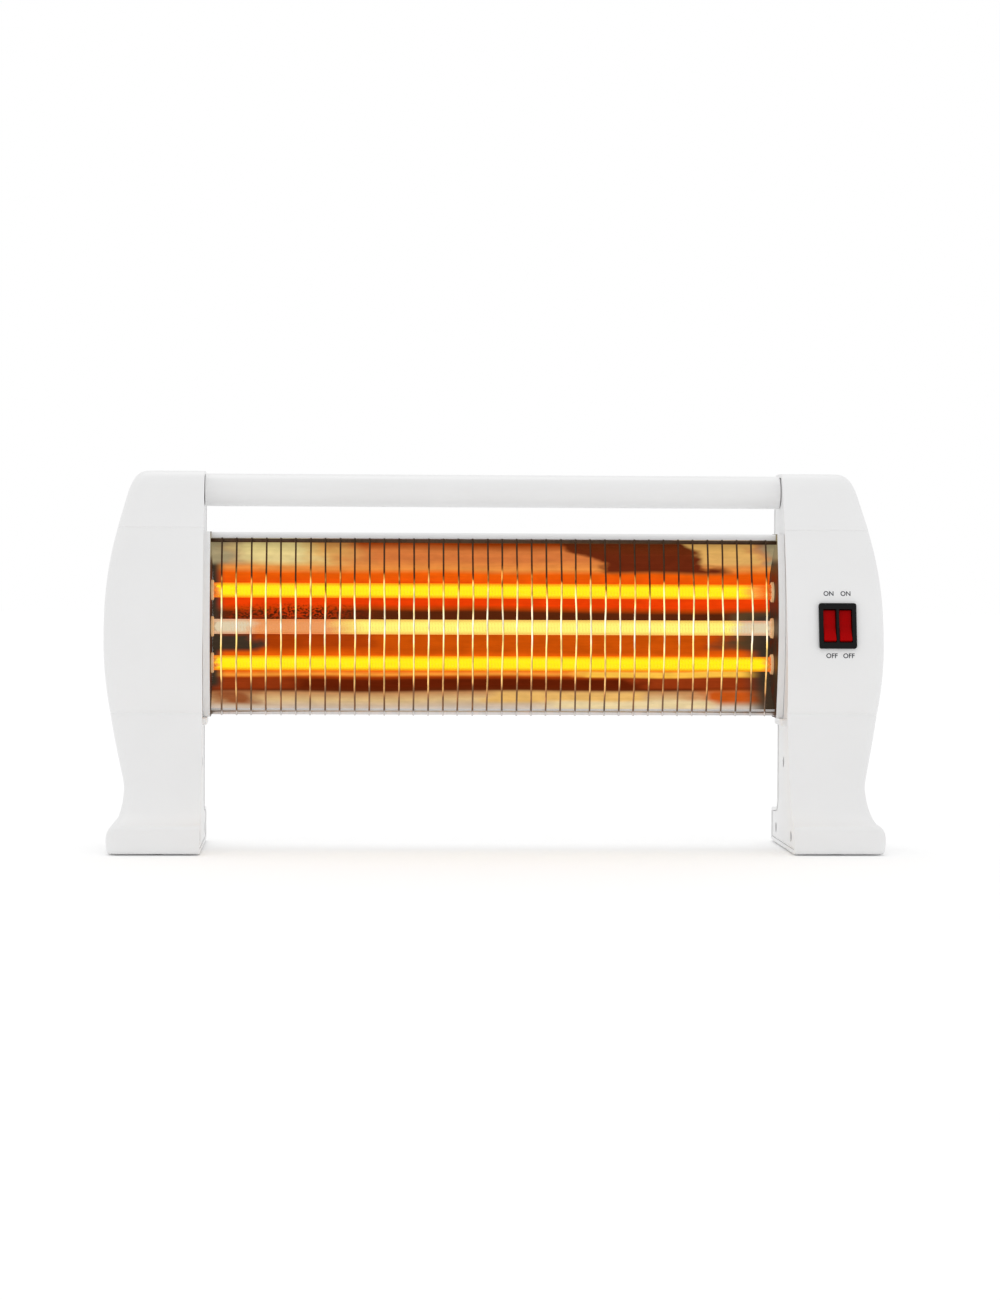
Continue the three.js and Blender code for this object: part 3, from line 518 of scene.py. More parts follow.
def polished_sheet():
    """Polished sheet with a painted reflection of the tubes' glow: bands and patches that its front
    gives out as its own light.
    """
    finish = Bands("polished_sheet", BROWN, 0.24, 1.0)
    times, stretch, height = finish.times, finish.stretch, finish.height
    slanted = finish.math("ADD", finish.along, times(finish.z, 1.6))
    measures = {"x": finish.x, "along": finish.along, "slanted": slanted}
    color = finish.ramp(height, PAINTED_REFLECTION_BANDS)
    for laid, measure, reach, rise in PAINTED_REFLECTION_PATCHES:
        mask = times(stretch(measures[measure], *reach), stretch(height, *rise))
        color = finish.mix(mask, color, laid)

    # Painted reflection: red-orange glints and deep brown dots over one dark stretch of the sheet
    specks = finish.noise(1.6, 1.6, 1.2, detail=4.0)
    dark = times(stretch(height, 150, 164, 5), stretch(finish.along, -186, -78, 40))
    lit = times(finish.between(specks, 0.42, 0.58), dark)
    color = finish.mix(times(lit, 0.6), color, RED_ORANGE)
    dots = times(finish.between(specks, 0.5, 0.38), dark)
    color = finish.mix(times(dots, 0.7), color, DEEP_BROWN)
    rough = finish.noise(9, 9, 5, detail=4.0)
    color = finish.shaded(color, finish.between(rough, 0.25, 0.75, 0.9, 1.06))
    streaks = finish.noise(60, 60, 1.6, detail=3.0)
    color = finish.shaded(color, finish.between(streaks, 0.25, 0.75, 0.95, 1.04))
    # Painted shade: darker towards the sheet's upper edge
    color = finish.shaded(color, finish.between(height, 196 * MM, 208 * MM, 1.0, 0.5))
    # On the front the painted colour is given out as light over a dark base; the back is plain steel
    front = finish.math("LESS_THAN", finish.normal("Y"), 0.0)
    steel = finish.shaded(linear(186, 186, 188), finish.between(streaks, 0.25, 0.75, 0.8, 1.0))
    finish.set("Base Color", finish.mix(front, steel, finish.shaded(color, 0.07)))
    finish.glow(color, times(front, 0.94))
    finish.rough_between(streaks, 0.2, 0.3)
    return finish.material


def capped_coat():
    """Powder coat outside; the side towards the tubes has a painted reflection of their ends in dark
    bands, which it gives out as light.
    """
    finish = Bands("capped_coat", linear(241, 241, 241), 0.42)
    inside = finish.within(CAP_WALL + 0.2)
    patches = finish.noise(14, 10, 9, detail=3.0)
    # Painted reflection of the tube ends, laid on the inner side only
    glow = finish.mix(finish.between(patches, 0.4, 0.75), SMOKE, BROWN)
    glow = finish.mix(finish.stretch(finish.height, 190, 214, 6), glow, OLIVE)
    white = finish.mix(patches, *COAT_SHADES)
    finish.set("Base Color", finish.mix(inside, white, finish.shaded(glow, 0.2)))
    finish.set("Specular IOR Level", finish.between(inside, 0.0, 1.0, 0.5, 0.1))
    finish.glow(glow, finish.times(inside, 0.5))
    return finish.material


def chrome_wire():
    """Plated wire with a painted reflection: dark near the top, as of the room above, and a painted
    glow where it crosses the tubes.
    """
    finish = Finish("chrome_wire", linear(120, 108, 98), 0.28, 1.0)
    z, low, high = finish.axis("Z"), guard_low.z, guard_high.z
    height = finish.swayed(z, finish.noise(7, 7, 14), 9)
    # Painted reflection by height: pale low down, brightest across the tubes, dark near the top
    lit = finish.ramp(height, [(low + (high - low) * share, color) for share, color in (
        (0.0, linear(150, 128, 110)), (0.16, linear(190, 130, 84)), (0.28, linear(255, 214, 130)),
        (0.4, linear(255, 220, 130)), (0.5, linear(255, 244, 220)), (0.66, linear(255, 232, 150)),
        (0.74, linear(238, 160, 70)), (0.8, linear(96, 54, 32)), (1.0, linear(84, 64, 48)),
    )])
    # Painted reflection: light grey at the wire's foot by the lower rod
    foot = finish.between(z, (low + 4) * MM, (low + 2) * MM)
    shade = finish.mix(0.75, lit, linear(44, 36, 30))
    finish.set("Base Color", finish.mix(foot, shade, linear(206, 204, 204)))
    # Painted highlight: faint on the side facing +X, brightest facing -X, in patches along each wire
    bright = finish.between(finish.normal("X"), 0.9, -0.1, 0.1)
    patches = finish.noise(3, 3, 11)
    bright = finish.times(bright, finish.between(patches, 0.3, 0.6, 0.6, 1.3))
    # The painted glow is given out only across the tubes' heights
    rise = finish.between(height, 98 * MM, 116 * MM, 0.25, 1.0)
    fall = finish.between(height, 174 * MM, 184 * MM, 1.0, 0.3)
    finish.glow(lit, finish.times(finish.times(rise, fall), bright))
    return finish.material


def glowing(name, stops, strength, roughness=0.4, alpha=1.0):
    """Something that glows along the heater: (place in millimetres, colour) stops."""
    finish = Finish(name, linear(60, 40, 26), roughness)
    flicker = finish.noise(26, 4, 4)
    color = finish.ramp(finish.swayed(finish.axis("X"), flicker, 3), stops)
    finish.glow(color, finish.between(flicker, 0.2, 0.8, 0.97 * strength, 1.03 * strength))
    finish.set("Specular IOR Level", 0.0)
    finish.set("Alpha", alpha)
    return finish.material


def hot_quartz(name, stops):
    """Clear tube around a glow: seen edge-on, its wall takes the deeper colour of the glow."""
    finish = Finish(name, linear(120, 60, 24), 0.08)
    ripple = finish.noise(8, 3, 3)
    facing = finish.add("ShaderNodeLayerWeight", {"Blend": 0.5}).outputs["Facing"]
    color = finish.ramp(finish.axis("X"), stops)
    finish.glow(color, finish.between(ripple, 0.2, 0.8, 0.85, 0.95))
    finish.set("Alpha", finish.between(facing, 0.16, 0.72, 0.03, 0.9))
    return finish.material


MOULDED = {"worn": 0.05, "grain": (0.7, 3.0)}
WHITE = plain("white_plastic", linear(240, 240, 240), linear(245, 245, 245), 0.4,
              relief=(0.05, 0.05), **MOULDED)
BLACK = plain("black_plastic", linear(10, 10, 11), linear(16, 16, 17), 0.4,
              gloss=0.15, relief=(0.1, 0.05), **MOULDED)
COAT = plain("powder_coat", *COAT_SHADES, 0.42, 60, worn=0.06, grain=(1.1, 2.0),
             relief=(0.12, 0.04))
# Painted shade: the zinc is a dark grey so that the screw heads read dark in their pockets
ZINC = plain("zinc_plate", linear(44, 44, 48), linear(84, 84, 88), 0.375, 1.5, 4.0, 0.8, 0.125)
RUBBER = plain("grey_rubber", linear(58, 58, 60), linear(80, 80, 82), 0.85, 2.0, 4.0,
               relief=(0.2, 0.1))
RED = plain("red_plastic", linear(158, 0, 1), linear(178, 0, 2), 0.35, 9.0,
            gloss=0.04, relief=(0.05, 0.05))
INK = plain("printed_ink", linear(16, 20, 30), linear(60, 64, 74), 0.6, 0.9, 3.0, gloss=0.1)
BRASS = stamped_brass()
CERAMIC = unglazed_ceramic()
SHEET = polished_sheet()
WIRE = chrome_wire()
CAP_COAT = capped_coat()


# ---- outline of a tower

CAP_HEIGHT = 38
PANEL_HEIGHT = 123
FOOT_HEIGHT = 19
WAIST_HEIGHT = 43
BULGE_RISE = 49
FOOT_WIDTH = 61.2
WAIST_WIDTH = 50.7
BULGE_WIDTH = 65.5
CAP_WIDTH = 50.4
LEG_BACK = 30
HEEL_HEIGHT = 24
HEEL_ROUND = 4.5
HEEL_RISE = 1.2
PANEL_FRONT = (-20, -0.5)  # at the lower and at the upper crease
CAP_STEP = 0.4
CAP_STEP_HEIGHT = 0.3
CAP_FRONT = 9
PANEL_BACK = 56
TOP_ROUND = 13
FRONT_ROUND = 6
BACK_ROUND = 8
GROOVE = 0.5
CREASE_DEPTH = 0.12  # the seam is a faint line
WALL = 2.5

FOOT_FRONT, FOOT_BACK = cover_low.y, cover_high.y
FLOOR_GAP = cover_low.z
UPPER_CREASE = HEIGHT - CAP_HEIGHT
LOWER_CREASE = UPPER_CREASE - PANEL_HEIGHT
ROUND_START = HEIGHT - TOP_ROUND
LEG = LOWER_CREASE - FOOT_HEIGHT
BULGE = LOWER_CREASE + BULGE_RISE


def bezier(start, first, second, end, count=48):
    points = []
    for t in spaced(0, 1, count + 1):
        u = 1 - t
        weights = (u ** 3, 3 * u * u * t, 3 * u * t * t, t ** 3)
        points.append(tuple(
            sum(weight * point[axis] for weight, point in zip(weights, (start, first, second, end)))
            for axis in (0, 1)
        ))
    return points


def by_height(*stretches):
    """Turns stretches of (value, height) points into a function of the height."""
    points = [point for stretch in stretches for point in stretch]

    def value(z):
        if z <= points[0][1]:
            return points[0][0]
        for low, high in zip(points, points[1:]):
            if high[1] >= z:
                share = (z - low[1]) / max(high[1] - low[1], 1e-6)
                return low[0] + (high[0] - low[0]) * share
        return points[-1][0]

    return value


front_at = by_height(
    [(FOOT_FRONT, 0), (FOOT_FRONT, FOOT_HEIGHT - 2)],
    bezier(
        (FOOT_FRONT + 1, FOOT_HEIGHT), (FOOT_FRONT + 20, FOOT_HEIGHT + 0.07 * LEG),
        (PANEL_FRONT[0] - 9, FOOT_HEIGHT + 0.45 * LEG), (PANEL_FRONT[0], LOWER_CREASE),
    ),
    bezier(
        (PANEL_FRONT[0], LOWER_CREASE), (PANEL_FRONT[0] - 6, LOWER_CREASE + 0.2 * PANEL_HEIGHT),
        (PANEL_FRONT[1] - 12.5, UPPER_CREASE - 0.32 * PANEL_HEIGHT),
        (PANEL_FRONT[1], UPPER_CREASE),
    ),
    [(PANEL_FRONT[1] - CAP_STEP, UPPER_CREASE + CAP_STEP_HEIGHT)],
    [(CAP_FRONT, ROUND_START), (CAP_FRONT, HEIGHT)],
)
back_at = by_height(
    [(FOOT_BACK, 0)],
    bezier(
        (FOOT_BACK, HEEL_HEIGHT - HEEL_ROUND), (FOOT_BACK, HEEL_HEIGHT - 0.4 * HEEL_ROUND),
        (FOOT_BACK - 0.4 * HEEL_ROUND, HEEL_HEIGHT), (FOOT_BACK - HEEL_ROUND, HEEL_HEIGHT),
    ),
    bezier(
        (LEG_BACK + 1.4 * HEEL_ROUND, HEEL_HEIGHT + HEEL_RISE),
        (LEG_BACK + 0.4 * HEEL_ROUND, HEEL_HEIGHT + 1.4 * HEEL_RISE),
        (LEG_BACK, HEEL_HEIGHT + HEEL_RISE + 0.5 * HEEL_ROUND),
        (LEG_BACK, HEEL_HEIGHT + HEEL_RISE + 1.5 * HEEL_ROUND),
    ),
    bezier(
        (LEG_BACK, LOWER_CREASE - 13), (LEG_BACK + 1, LOWER_CREASE + 6),
        (PANEL_BACK - 1, LOWER_CREASE + 9), (PANEL_BACK, BULGE),
    ),
    [(PANEL_BACK, HEIGHT)],
)
width_at = by_height(
    [(FOOT_WIDTH - 1, 0)],
    bezier(
        (FOOT_WIDTH, 0.45 * FOOT_HEIGHT), (FOOT_WIDTH, 0.8 * FOOT_HEIGHT),
        (FOOT_WIDTH - 2, 0.95 * FOOT_HEIGHT), (FOOT_WIDTH - 4.6, 1.01 * FOOT_HEIGHT),
    ),
    bezier(
        (FOOT_WIDTH - 4.6, 1.01 * FOOT_HEIGHT), (FOOT_WIDTH - 7, 1.08 * FOOT_HEIGHT),
        (WAIST_WIDTH, 0.7 * WAIST_HEIGHT), (WAIST_WIDTH, WAIST_HEIGHT),
    ),
    bezier(
        (WAIST_WIDTH, WAIST_HEIGHT),
        (WAIST_WIDTH + 0.5, WAIST_HEIGHT + 0.07 * (BULGE - WAIST_HEIGHT)),
        (BULGE_WIDTH, BULGE - 0.46 * (BULGE - WAIST_HEIGHT)), (BULGE_WIDTH, BULGE),
    ),
    bezier(
        (BULGE_WIDTH, BULGE), (BULGE_WIDTH + 0.4, BULGE + 0.44 * (ROUND_START - BULGE)),
        (CAP_WIDTH + 9.6, ROUND_START - 0.35 * (ROUND_START - BULGE)), (CAP_WIDTH, ROUND_START),
    ),
    [(CAP_WIDTH, HEIGHT)],
)


# The rounded edge at the top: how far it is drawn in against how far it has risen
TOP_EDGE = bezier((0, 0), (0.14, 0.38), (0.38, 1), (0.92, 1), 14)


def tower_levels(inset, bottom):
    """(height, inset) of each level of a tower, drawn in by a wall thickness."""
    levels = [(bottom, inset + 1.2), (bottom + 0.4, inset + 0.5), (bottom + 1.5, inset)]
    step = 1.8
    ranges = (
        (bottom + 3, FOOT_HEIGHT - 2), (FOOT_HEIGHT - 1.6, FOOT_HEIGHT),
        (FOOT_HEIGHT + 1, HEEL_HEIGHT - 1), (HEEL_HEIGHT - 0.6, HEEL_HEIGHT + HEEL_RISE + 0.6),
        (HEEL_HEIGHT + HEEL_RISE + 1, LOWER_CREASE - GROOVE),
        (LOWER_CREASE + GROOVE, UPPER_CREASE), (UPPER_CREASE + CAP_STEP_HEIGHT, ROUND_START),
    )
    for low, high in ranges:
        levels += [(z, inset) for z in spaced(low, high, max(4, int((high - low) / step)))]
    if inset == 0:
        levels += [(LOWER_CREASE + side * 0.3, CREASE_DEPTH) for side in (-1, 1)]
    turn = TOP_ROUND - inset
    for drawn, risen in TOP_EDGE[1:]:
        levels.append((ROUND_START + turn * risen, inset + turn * drawn))
    return sorted(levels)


def drawn_in(value_at, z, draw, wall, sign):
    """A wall keeps its thickness where it lies nearly flat: it is drawn in up and down too."""
    reaches = (sign * value_at(z - wall), sign * value_at(z) - draw, sign * value_at(z + wall))
    return sign * min(reaches)


def tower_ring(z, draw, facing, inset):
    """One level: flat on the facing side, with two rounded corners outside."""
    front = drawn_in(front_at, z, draw, inset, -1)
    back = drawn_in(back_at, z, draw, inset, 1)
    outer = INNER_FACE + drawn_in(width_at, z, draw, inset, 1)
    front_round, back_round = max(FRONT_ROUND - inset, 1), max(BACK_ROUND - inset, 1)
    ring = [(facing, front)]
    ring += arc((outer - front_round, front + front_round), front_round, -90, 0, 8)
    ring += arc((outer - back_round, back - back_round), back_round, 0, 90, 8)
    ring.append((facing, back))
    return [(x, y, z) for x, y in ring]


def tower_solid(name, inset, facing, bottom):
    levels = tower_levels(inset, bottom)
    return skin(name, [tower_ring(z, draw, facing, inset) for z, draw in levels])


# ---- tower covers and plates

SWITCH_X = (case_low.x + case_high.x) / 2
SWITCH_Z = 149.9
BEZEL = (25.2, 30.7, 1.8)
SWITCH_BODY = (22.4, 27.6)
CLEARANCE = 0.3
switch_lean = math.atan(
    (front_at(SWITCH_Z + BEZEL[1] / 2) - front_at(SWITCH_Z - BEZEL[1] / 2)) / BEZEL[1]
)
# From the switch's own axes, X across, Y into the tower, Z up its face, to the frame's
SWITCH_FRAME = (
    Matrix.Translation(Vector((SWITCH_X, front_at(SWITCH_Z), SWITCH_Z)) * MM)
    @ Matrix.Rotation(-switch_lean, 4, "X")
)


def plug(name, outline, start, end):
    """An outline in X and Z, drawn out along Y."""
    return skin(name, [[(x, y, z) for x, z in outline] for y in (start, end)])


def in_switch_frame(thing):
    thing.data.transform(SWITCH_FRAME)
    return thing


def tower_cover():
    cover = tower_solid("tower_cover_plain", 0, INNER_FACE, FLOOR_GAP)
    hollow = tower_solid("tower_hollow", WALL, INNER_FACE - 2, FLOOR_GAP + WALL)
    return combine(cover, hollow, "DIFFERENCE")


plain_cover = tower_cover()
left_cover = mirrored(plain_cover, "tower_shell_left")
hole = box_outline(SWITCH_BODY[0] + 2 * CLEARANCE, SWITCH_BODY[1] + 2 * CLEARANCE, 0.6)
combine(plain_cover, in_switch_frame(plug("switch_hole", hole, -6, 8)), "DIFFERENCE")
grommet_centre = (grommet_low + grommet_high) / 2
CORD_HOLE = 6.9
cord_place = (grommet_centre.x, LEG_BACK, grommet_centre.z)
combine(plain_cover, disc("cord_hole", CORD_HOLE, -8, 6, "Y", cord_place, 40), "DIFFERENCE")
plain_cover.name = "tower_shell_right"
for side, cover in (("right", plain_cover), ("left", left_cover)):
    finished(softened(cover, 0.35, 2, 38), WHITE, "white_plastic", f"tower_cover_{side}")

PLATE_FACE = INNER_FACE + 0.5
PLATE_THICKNESS = 2.5
SCREWS = ((2, 58), (-38, 11), (38, 11))  # Y and Z beside the leg, and in the foot
POCKET, POCKET_DEPTH = 3.6, 3  # radius and depth of the recess that a screw's head sits in
CUP, CUP_DEPTH = 5.5, 5.2  # the same of the wall behind it
SEAT = PLATE_FACE + POCKET_DEPTH
LEDGE = ((-13, 82.8), (26, 87.2))  # opposite corners of the ledge under the body, in Y and Z


def plate_outline():
    inset = WALL + CLEARANCE
    levels = tower_levels(inset, FLOOR_GAP + inset)
    front = [(drawn_in(front_at, z, draw, inset, -1), z) for z, draw in levels]
    back = [(drawn_in(back_at, z, draw, inset, 1), z) for z, draw in levels]
    return front + back[::-1]


def side_plate():
    plate = prism("side_plate_shell_right", plate_outline(), PLATE_FACE, PLATE_FACE + PLATE_THICKNESS)
    for y, z in SCREWS:
        seat = ("X", (PLATE_FACE, y, z))
        combine(plate, disc("cup", CUP, 1, CUP_DEPTH, *seat), "UNION")
        combine(plate, disc("pocket", POCKET, -1, POCKET_DEPTH, *seat), "DIFFERENCE")
    (front, bottom), (back, top) = LEDGE
    ledge = rounded_profile([(front, bottom), (back, bottom), (back, top), (front, top)], 1.2)
    combine(plate, prism("ledge", ledge, PLATE_FACE - 3, PLATE_FACE + 1), "UNION")
    return plate


pair(side_plate(), 0.3, 35, WHITE, "white_plastic", "side_plate")


# ---- screws, pads and grommet

HEAD = (3.1, 1.7)  # radius and height
SHANK = 1.5
SCREW_LENGTH = 16
DRIVE = (0.8, 3.4)  # width and length of each arm of the cross


def screw_mesh():
    """A pan-head screw along X: its head at negative X, with a crossed drive recess."""
    radius, rise = HEAD
    head = [(AT_AXIS, -rise)] + [
        (radius * math.sin(a), -0.7 - (rise - 0.7) * math.cos(a)) for a in spaced(0.15, 1.57, 7)
    ]
    pitch, depth = 1.3, 0.35
    thread = []
    for turn in range(int((SCREW_LENGTH - 4) / pitch)):
        start = 2 + turn * pitch
        thread += [(SHANK - depth, start), (SHANK, start + pitch / 2)]
    tip = [(SHANK - depth, SCREW_LENGTH - 2.5), (AT_AXIS, SCREW_LENGTH - 0.6)]
    profile = head + [(radius, 0), (SHANK, 0), (SHANK, 1.6)] + thread + tip
    screw = revolved("screw_form", profile, "X", (0, 0, 0), 24)
    for sizes in (DRIVE, DRIVE[::-1]):
        slot = prism("drive", box_outline(*sizes, 0.2, 2), -rise - 1, -rise + 1)
        combine(screw, slot, "DIFFERENCE")
    mesh = screw.data
    bpy.data.objects.remove(screw)
    return mesh


screw_form = screw_mesh()
screw_names = ("leg_screw", "front_foot_screw", "rear_foot_screw")
for side, sign in SIDES:
    for name, (y, z) in zip(screw_names, SCREWS):
        mesh = screw_form.copy()
        turn = Matrix.Rotation(random.Random(name + side).uniform(0, math.pi), 4, "X")
        mesh.transform(Matrix.Rotation(0 if sign > 0 else math.pi, 4, "Z") @ turn)
        mesh.transform(Matrix.Translation(Vector((sign * (SEAT - CLEARANCE), y, z)) * MM))
        screw = smooth(add_object(f"{name}_threaded_{side}", mesh), 40)
        finished(screw, ZINC, "zinc_steel", f"{name}_{side}")

PAD = (8, 2.2, 0.6)


def foot_pad(name, x, y):
    radius, height, taper = PAD
    foot = radius - taper
    profile = [(AT_AXIS, 0), (foot - 3.2, 0), (foot - 2.9, 0.35), (foot - 2.1, 0.35), (foot - 1.8, 0)]
    profile += [(foot - 0.4, 0), (foot, 0.3), (radius, height - 0.3), (radius - 0.3, height)]
    profile += [(AT_AXIS, height)]
    return smooth(revolved(name, profile, "Z", (x, y, 0), 48), 35)


for side, sign in SIDES:
    for end in ("front", "rear"):
        node = f"{end}_foot_pad_{side}"
        low, high = span(node)
        middle = (low + high) / 2
        pad = foot_pad(f"{end}_foot_ring_pad_{side}", middle.x, middle.y)
        finished(pad, RUBBER, "grey_rubber", node)


def cord_grommet():
    radius = (grommet_high.x - grommet_low.x) / 2
    front, back = grommet_low.y, grommet_high.y
    neck, bore = CORD_HOLE - CLEARANCE, 4.4
    outside = back - 3
    profile = [(bore, front), (radius - 1.2, front), (radius - 0.8, front + 0.4),
               (radius - 0.8, front + 2), (neck, front + 2), (neck, outside), (radius, outside)]
    profile += [(radius - 1.6 * (1 - math.cos(a)), back - 1.6 + 1.6 * math.sin(a))
                for a in spaced(0, math.pi / 2, 7)]
    profile += [(bore + 0.8, back), (bore, back - 0.8)]
    return revolved("grommet_ring", profile, "Y", (grommet_centre.x, 0, grommet_centre.z), 56)


finished(smooth(cord_grommet(), 35), RUBBER, "grey_rubber", "cord_grommet")


# ---- handle

def handle():
    radius = (handle_high.z - handle_low.z) / 2
    centre = (handle_low + handle_high) / 2
    end, wall = handle_high.x + CLEARANCE - 0.02, 2
    outside = bar_profile(radius, end, 0.4, 0.4, spaced(-end + 8, end - 8, 9))
    profile = [(radius - wall, -end), *outside, (radius - wall, end)]
    return revolved("handle_bar", profile, "X", (0, centre.y, centre.z), 72)


finished(smooth(handle(), 40), WHITE, "white_plastic", "handle_tube")


# ---- reflector body

BODY_END = body_high.x
SHEET_THICKNESS = 1.0
LIP = 4
BEND = 2.4
LOWER_SLANT = (26, 23)  # the depth where the slant begins, and how far it rises to the back
UPPER_SLANT = (30, 15)
HOLDER_BORE = 7.1
VENT = (30, 4)  # length and width of a slot
VENT_COLUMNS = 7
VENT_PITCH, VENT_RISE = 48, 18
SHEET_BACK = 38
SHEET_SLANTS = (26, 24)  # how far the sheet slants down from the top, and up from the bottom
TROUGH_PITCH, TROUGH_DEPTH = 24.5, 4


def body_back(top, bottom, back):
    """The folds of the body behind, from below to above."""
    return [(LOWER_SLANT[0], bottom), (back, body_low.z + LOWER_SLANT[1]),
            (back, body_high.z - UPPER_SLANT[1]), (UPPER_SLANT[0], top)]


def body_corners():
    top, bottom, front = body_high.z, body_low.z, body_low.y
    return [(front, bottom + LIP), (front, bottom), *body_back(top, bottom, body_high.y),
            (front, top), (front, top - LIP)]


def bent_sheet(corners, thickness, bend):
    """A folded sheet: a line through the corners, rounded at each bend, given a thickness."""
    line = [Vector(corners[0])]
    for before, here, after in zip(corners, corners[1:], corners[2:]):
        here, before, after = Vector(here), Vector(before), Vector(after)
        arm = min(bend, (before - here).length / 2.2, (after - here).length / 2.2)
        start = here + (before - here).normalized() * arm
        end = here + (after - here).normalized() * arm
        for share in spaced(0, 1, 7):
            line.append(start.lerp(here, share).lerp(here.lerp(end, share), share))
    line.append(Vector(corners[-1]))
    inner = []
    for index, point in enumerate(line):
        before, after = line[max(index - 1, 0)], line[min(index + 1, len(line) - 1)]
        along = (after - before).normalized()
        inner.append(point + Vector((-along.y, along.x)) * thickness)
    return [tuple(point) for point in line] + [tuple(point) for point in reversed(inner)]


def vent_slot(x, z):
    length, width = VENT
    half = (length - width) / 2
    outline = arc((half, 0), width / 2, -90, 90, 8) + arc((-half, 0), width / 2, 90, 270, 8)
    return plug("vent", [(x + u, z + v) for u, v in outline], body_high.y - 3, body_high.y + 3)


def rear_housing():
    outline = bent_sheet(body_corners(), SHEET_THICKNESS, BEND)
    housing = prism("rear_housing_sheet", outline, -BODY_END, BODY_END)
    middle = (body_low.z + body_high.z) / 2
    for column in range(VENT_COLUMNS):
        x = (column - (VENT_COLUMNS - 1) / 2) * VENT_PITCH
        for row in (-0.5, 0.5):
            combine(housing, vent_slot(x, middle + row * VENT_RISE), "DIFFERENCE")
    return housing


finished(smooth(rear_housing(), 40), COAT, "painted_steel", "rear_housing")


def reflector():
    """Slanted walls above and below, and a shallow trough behind each tube."""
    front, back = reflector_low.y, SHEET_BACK
    top_back, bottom_back = body_high.z - SHEET_SLANTS[0], body_low.z + SHEET_SLANTS[1]
    face = [Vector((front, reflector_high.z)), Vector((front + 0.6, reflector_high.z - 0.5))]
    ridges = [tube_axis(level) + TROUGH_PITCH / 2 for level in ("middle", "lower")]
    ridges = [top_back, *ridges, bottom_back]
    face += [Vector((front + (back - front) * t, face[1].y + (top_back - face[1].y) * t))
             for t in spaced(0.15, 1, 8)]
    for top, bottom in zip(ridges, ridges[1:]):
        for share in spaced(0, 1, 21)[1:]:
            depth = TROUGH_DEPTH * math.sin(math.pi * share)
            face.append(Vector((back + depth, top + (bottom - top) * share)))
    face += [Vector((back + (front - back) * t, bottom_back + (reflector_low.z - bottom_back) * t))
             for t in spaced(0.15, 1, 8)]
    rear = [point + Vector((1.2, 0)) for point in reversed(face)]
    outline = [tuple(point) for point in face + rear]
    return prism("reflector_sheet", outline, -BODY_END, BODY_END)


finished(smooth(reflector(), 50), SHEET, "polished_steel", "reflector")


# ---- end caps

CAP_RIM = 1.5
CAP_EDGE, CAP_BOW = 5, 11  # depth of the front edge above and below, and its bow


def cap_outline(inset):
    """Follows the body, with a front edge that bows forward with the guard."""
    top, bottom = cap_high.z - inset, cap_low.z + inset
    outline = body_back(top, bottom, body_high.y + CAP_RIM - inset)
    for share in spaced(0, 1, 33):
        front = CAP_EDGE + inset - CAP_BOW * math.sin(math.pi * share)
        outline.append((front, top + (bottom - top) * share))
    return outline


def end_cap():
    low, high = CAP_WALL, INNER_FACE + 0.3
    cap = prism("end_cap_pan_right", cap_outline(0), low, high)
    combine(cap, prism("pan", cap_outline(CAP_RIM), low + 1.2, high + 1), "DIFFERENCE")
    for level in TUBES:
        centre = (low, tube_depth, tube_axis(level))
        combine(cap, disc("bore", HOLDER_BORE, -1, 3, "X", centre, 40), "DIFFERENCE")
    return cap


pair(end_cap(), 0.25, 40, CAP_COAT, "painted_steel", "end_cap")


# ---- heating tubes

# Each tube's glow along the heater: places in millimetres, and the colours there
YELLOW = linear(255, 243, 8)
PALE_YELLOW = linear(255, 250, 124)
PINK = linear(226, 150, 96)
ASH = linear(214, 206, 176)
EMBER = linear(150, 40, 8)
GLOW = {
    "upper": ((-190, ORANGE), (-187, AMBER), (-184, YELLOW), (168, YELLOW),
              (177, AMBER), (185, ORANGE), (190, EMBER)),
    "middle": ((-190, ASH), (-168, ASH), (-158, PINK), (-112, PINK), (-88, PALE_YELLOW),
               (160, PALE_YELLOW), (170, ASH), (190, ASH)),
    "lower": ((-190, ORANGE), (-188, AMBER), (-185, YELLOW), (181, YELLOW),
              (186, AMBER), (188, ORANGE), (190, EMBER)),
}
TUBE_EDGES = {"upper": (ORANGE, 0.75), "middle": (TAN, 0.45), "lower": (ORANGE, 0.75)}
CURLS = 170
CURL_STEPS = 12
COIL = (3.6, 0.4)  # radius of the curls and of their wire
CORE = (3.66, 0.08)  # radius, and how far it swells
HALO = 4.45
GLOW_HALF = 188
COIL_HALF = 180
COLLAR, NECK, RIB_FOOT = 6.8, 6.0, 5.6  # outer radii of a ceramic holder
SOCKET, LEAD_HOLE = 5.3, 0.75  # its inner radii, around the tube and around the coil's lead


def coil_mesh(name, z):
    """One unbroken wire: straight leads and a close helix that fills its tube."""
    low, high = span(f"{name}_heating_coil")
    radius, wire = COIL
    middle, steps = Vector((0, tube_depth, z)), CURLS * CURL_STEPS
    path = [middle + Vector((low.x, 0, 0))]
    for step, x in enumerate(spaced(-COIL_HALF, COIL_HALF, steps + 1)):
        reach = radius * min(min(step, steps - step) / CURL_STEPS, 1.0)
        angle = 2 * math.pi * step / CURL_STEPS
        path.append(middle + Vector((x, reach * math.cos(angle), reach * math.sin(angle))))
    path.append(middle + Vector((high.x, 0, 0)))
    rings = swept(path, wire, 6, Vector((0, 0.31, 0.95)), math.pi / 2)
    return smooth(skin(f"{name}_coil_wire", rings), 80)


